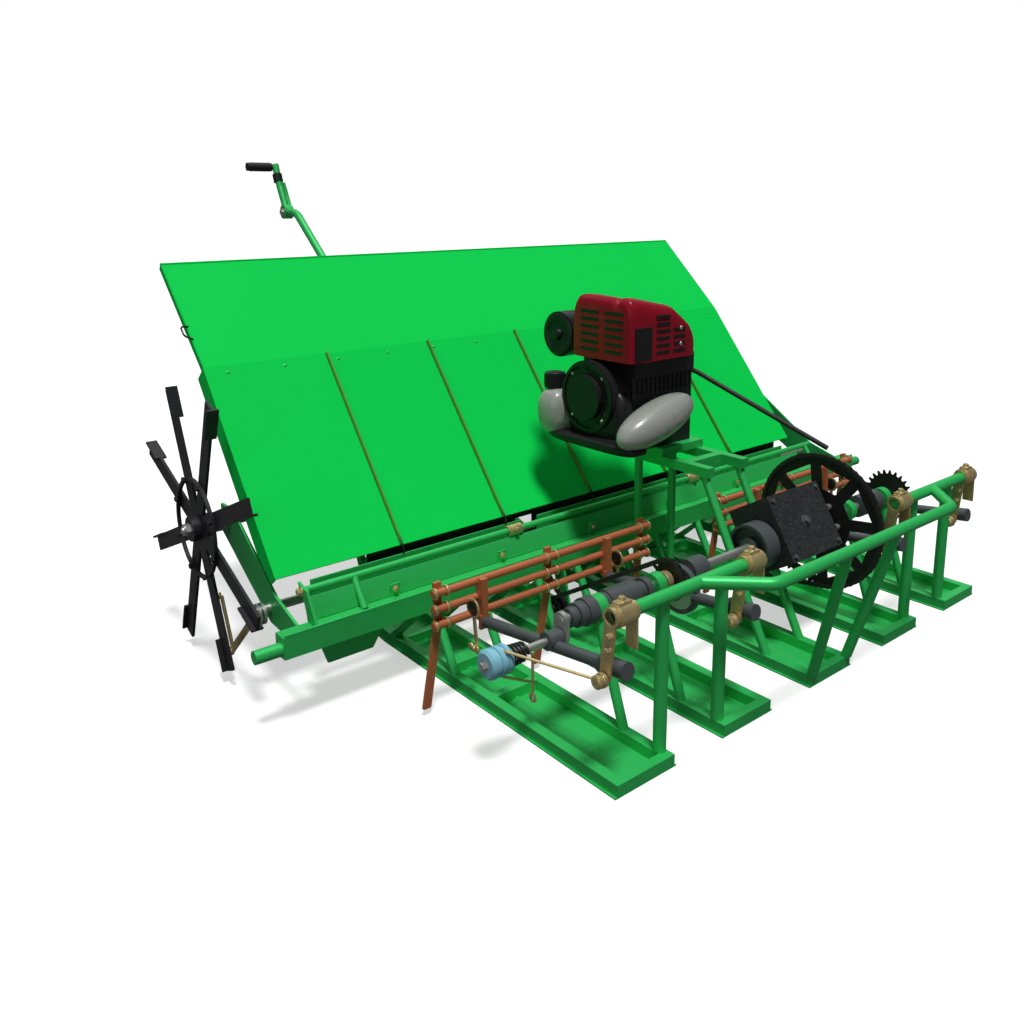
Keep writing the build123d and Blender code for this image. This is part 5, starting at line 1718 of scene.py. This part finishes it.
@dataclass
class Studio:
    """Pale floor, soft lights and the camera at the photograph's viewing angle."""

    heading: float = 39.1113
    pitch: float = 11.777
    roll: float = -0.5062
    camera_place: Triple = (-1.3214, -1.7999, 0.8013)
    lens: float = 32.105
    shift: Span = (-0.0071, -0.1149)
    sensor_wide: float = 36.0
    clip_end: float = 200.0
    floor_half: float = 40.0
    floor_bounce: float = 0.12
    floor_seen: float = 0.62
    floor_glow: float = 0.50
    world_light: Span = (0.05, 1.0)
    lamp_rows: tuple[tuple[str, Triple, float, float], ...] = (
        ("key", (-0.12, -0.3, 1.0), 10.0, 2.7),
        ("overhead", (0.1, 0.45, 1.0), 70.0, 0.7),
        ("fill", (-1.0, -0.45, 0.35), 40.0, 0.28),
        ("rim", (0.8, 0.6, 0.7), 40.0, 0.15),
    )

    def build(self) -> None:
        """Place the camera, the floor, the lamps and the world."""
        self.camera()
        self.floor()
        self.lamps()
        self.world()

    def camera(self) -> None:
        """Camera whose view runs along the heading, tipped down by the pitch and turned by the roll."""
        heading, pitch, roll = radians(self.heading), radians(self.pitch), radians(self.roll)
        ahead = Vector((sin(heading) * cos(pitch), cos(heading) * cos(pitch), -sin(pitch)))
        right = Vector((cos(heading), -sin(heading), 0.0))
        above = right.cross(ahead)
        side = right * cos(roll) + above * sin(roll)
        above = above * cos(roll) - right * sin(roll)
        turn = Matrix((side, above, -ahead)).transposed().to_4x4()
        data = bpy.data.cameras.new("camera")
        data.lens = self.lens
        data.sensor_width = self.sensor_wide
        data.shift_x, data.shift_y = self.shift
        data.clip_end = self.clip_end
        camera = bpy.data.objects.new("camera", data)
        camera.matrix_world = Matrix.Translation(Vector(self.camera_place)) @ turn
        bpy.context.scene.collection.objects.link(camera)
        bpy.context.scene.camera = camera

    def floor(self) -> None:
        """White floor that glows a little for the camera, so that it is white but keeps the shadow."""
        half = self.floor_half
        mesh = bpy.data.meshes.new("floor")
        corners = [(-half, -half, 0), (half, -half, 0), (half, half, 0), (-half, half, 0)]
        mesh.from_pydata(corners, [], [(0, 1, 2, 3)])
        floor = bpy.data.objects.new("floor", mesh)
        bpy.context.scene.collection.objects.link(floor)
        material = bpy.data.materials.new("floor")
        material.use_nodes = True
        tree = material.node_tree
        tree.nodes.clear()
        path = tree.nodes.new("ShaderNodeLightPath")
        matte = tree.nodes.new("ShaderNodeBsdfDiffuse")
        shade = tree.nodes.new("ShaderNodeMapRange")
        shade.inputs["To Min"].default_value = self.floor_bounce
        shade.inputs["To Max"].default_value = self.floor_seen
        tree.links.new(path.outputs["Is Camera Ray"], shade.inputs["Value"])
        tree.links.new(shade.outputs["Result"], matte.inputs["Color"])
        glow = tree.nodes.new("ShaderNodeEmission")
        scale = tree.nodes.new("ShaderNodeMath")
        scale.operation = "MULTIPLY"
        scale.inputs[1].default_value = self.floor_glow
        tree.links.new(path.outputs["Is Camera Ray"], scale.inputs[0])
        tree.links.new(scale.outputs[0], glow.inputs["Strength"])
        both = tree.nodes.new("ShaderNodeAddShader")
        tree.links.new(matte.outputs[0], both.inputs[0])
        tree.links.new(glow.outputs[0], both.inputs[1])
        output = tree.nodes.new("ShaderNodeOutputMaterial")
        tree.links.new(both.outputs[0], output.inputs["Surface"])
        mesh.materials.append(material)

    def lamps(self) -> None:
        """Key from high behind the camera, a very soft one overhead that shades the floor, and two fills."""
        for name, toward, spread, strength in self.lamp_rows:
            self.lamp(name, toward, spread, strength)

    def lamp(self, name: str, toward: Triple, spread: float, strength: float) -> None:
        """One distant lamp.

        Args:
            name: Name of the lamp.
            toward: Direction from the machine to the lamp.
            spread: Angle in degrees that the lamp fills, which softens its shadow.
            strength: Its light on a surface that faces it, in watts per square metre.
        """
        data = bpy.data.lights.new(name, "SUN")
        data.angle = radians(spread)
        data.energy = strength
        thing = bpy.data.objects.new(name, data)
        thing.matrix_world = (-Vector(toward)).to_track_quat("-Z", "Y").to_matrix().to_4x4()
        bpy.context.scene.collection.objects.link(thing)

    def world(self) -> None:
        """Grey light all round, white where the camera or glass looks at it."""
        world = bpy.data.worlds.new("studio")
        world.use_nodes = True
        tree = world.node_tree
        tree.nodes.clear()
        path = tree.nodes.new("ShaderNodeLightPath")
        seen = tree.nodes.new("ShaderNodeMath")
        seen.operation = "MAXIMUM"
        tree.links.new(path.outputs["Is Camera Ray"], seen.inputs[0])
        tree.links.new(path.outputs["Is Transmission Ray"], seen.inputs[1])
        level = tree.nodes.new("ShaderNodeMapRange")
        level.inputs["To Min"].default_value = self.world_light[0]
        level.inputs["To Max"].default_value = self.world_light[1]
        tree.links.new(seen.outputs[0], level.inputs["Value"])
        light = tree.nodes.new("ShaderNodeBackground")
        light.inputs["Color"].default_value = (1, 1, 1, 1)
        tree.links.new(level.outputs["Result"], light.inputs["Strength"])
        output = tree.nodes.new("ShaderNodeOutputWorld")
        tree.links.new(light.outputs[0], output.inputs["Surface"])
        bpy.context.scene.world = world


def main() -> None:
    """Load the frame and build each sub-assembly."""
    logging.basicConfig(level=logging.INFO, format="%(name)s: %(message)s")
    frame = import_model()
    bpy.context.scene.view_settings.view_transform = "Standard"
    shop = Workshop(frame)
    rockers = [RockerDress(number, across) for number, across in enumerate(ROCKER_PLACES, start=1)]
    planters = [PlanterDress("left", -1, ROCKER_PLACES[0]), PlanterDress("right", 1, ROCKER_PLACES[3])]
    machine = [Bodywork(), EngineDress(), TrayDress(), GateDress(), DriveDress()]
    machine += [*rockers, *planters, WheelDress(), SkidDress(), HandleDress()]
    for part in machine:
        LOG.info("building %s", type(part).__name__)
        part.build(shop)
    Studio().build()
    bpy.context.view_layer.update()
    LOG.info("%d pieces", shop.count)


if __name__ == "__main__":
    main()
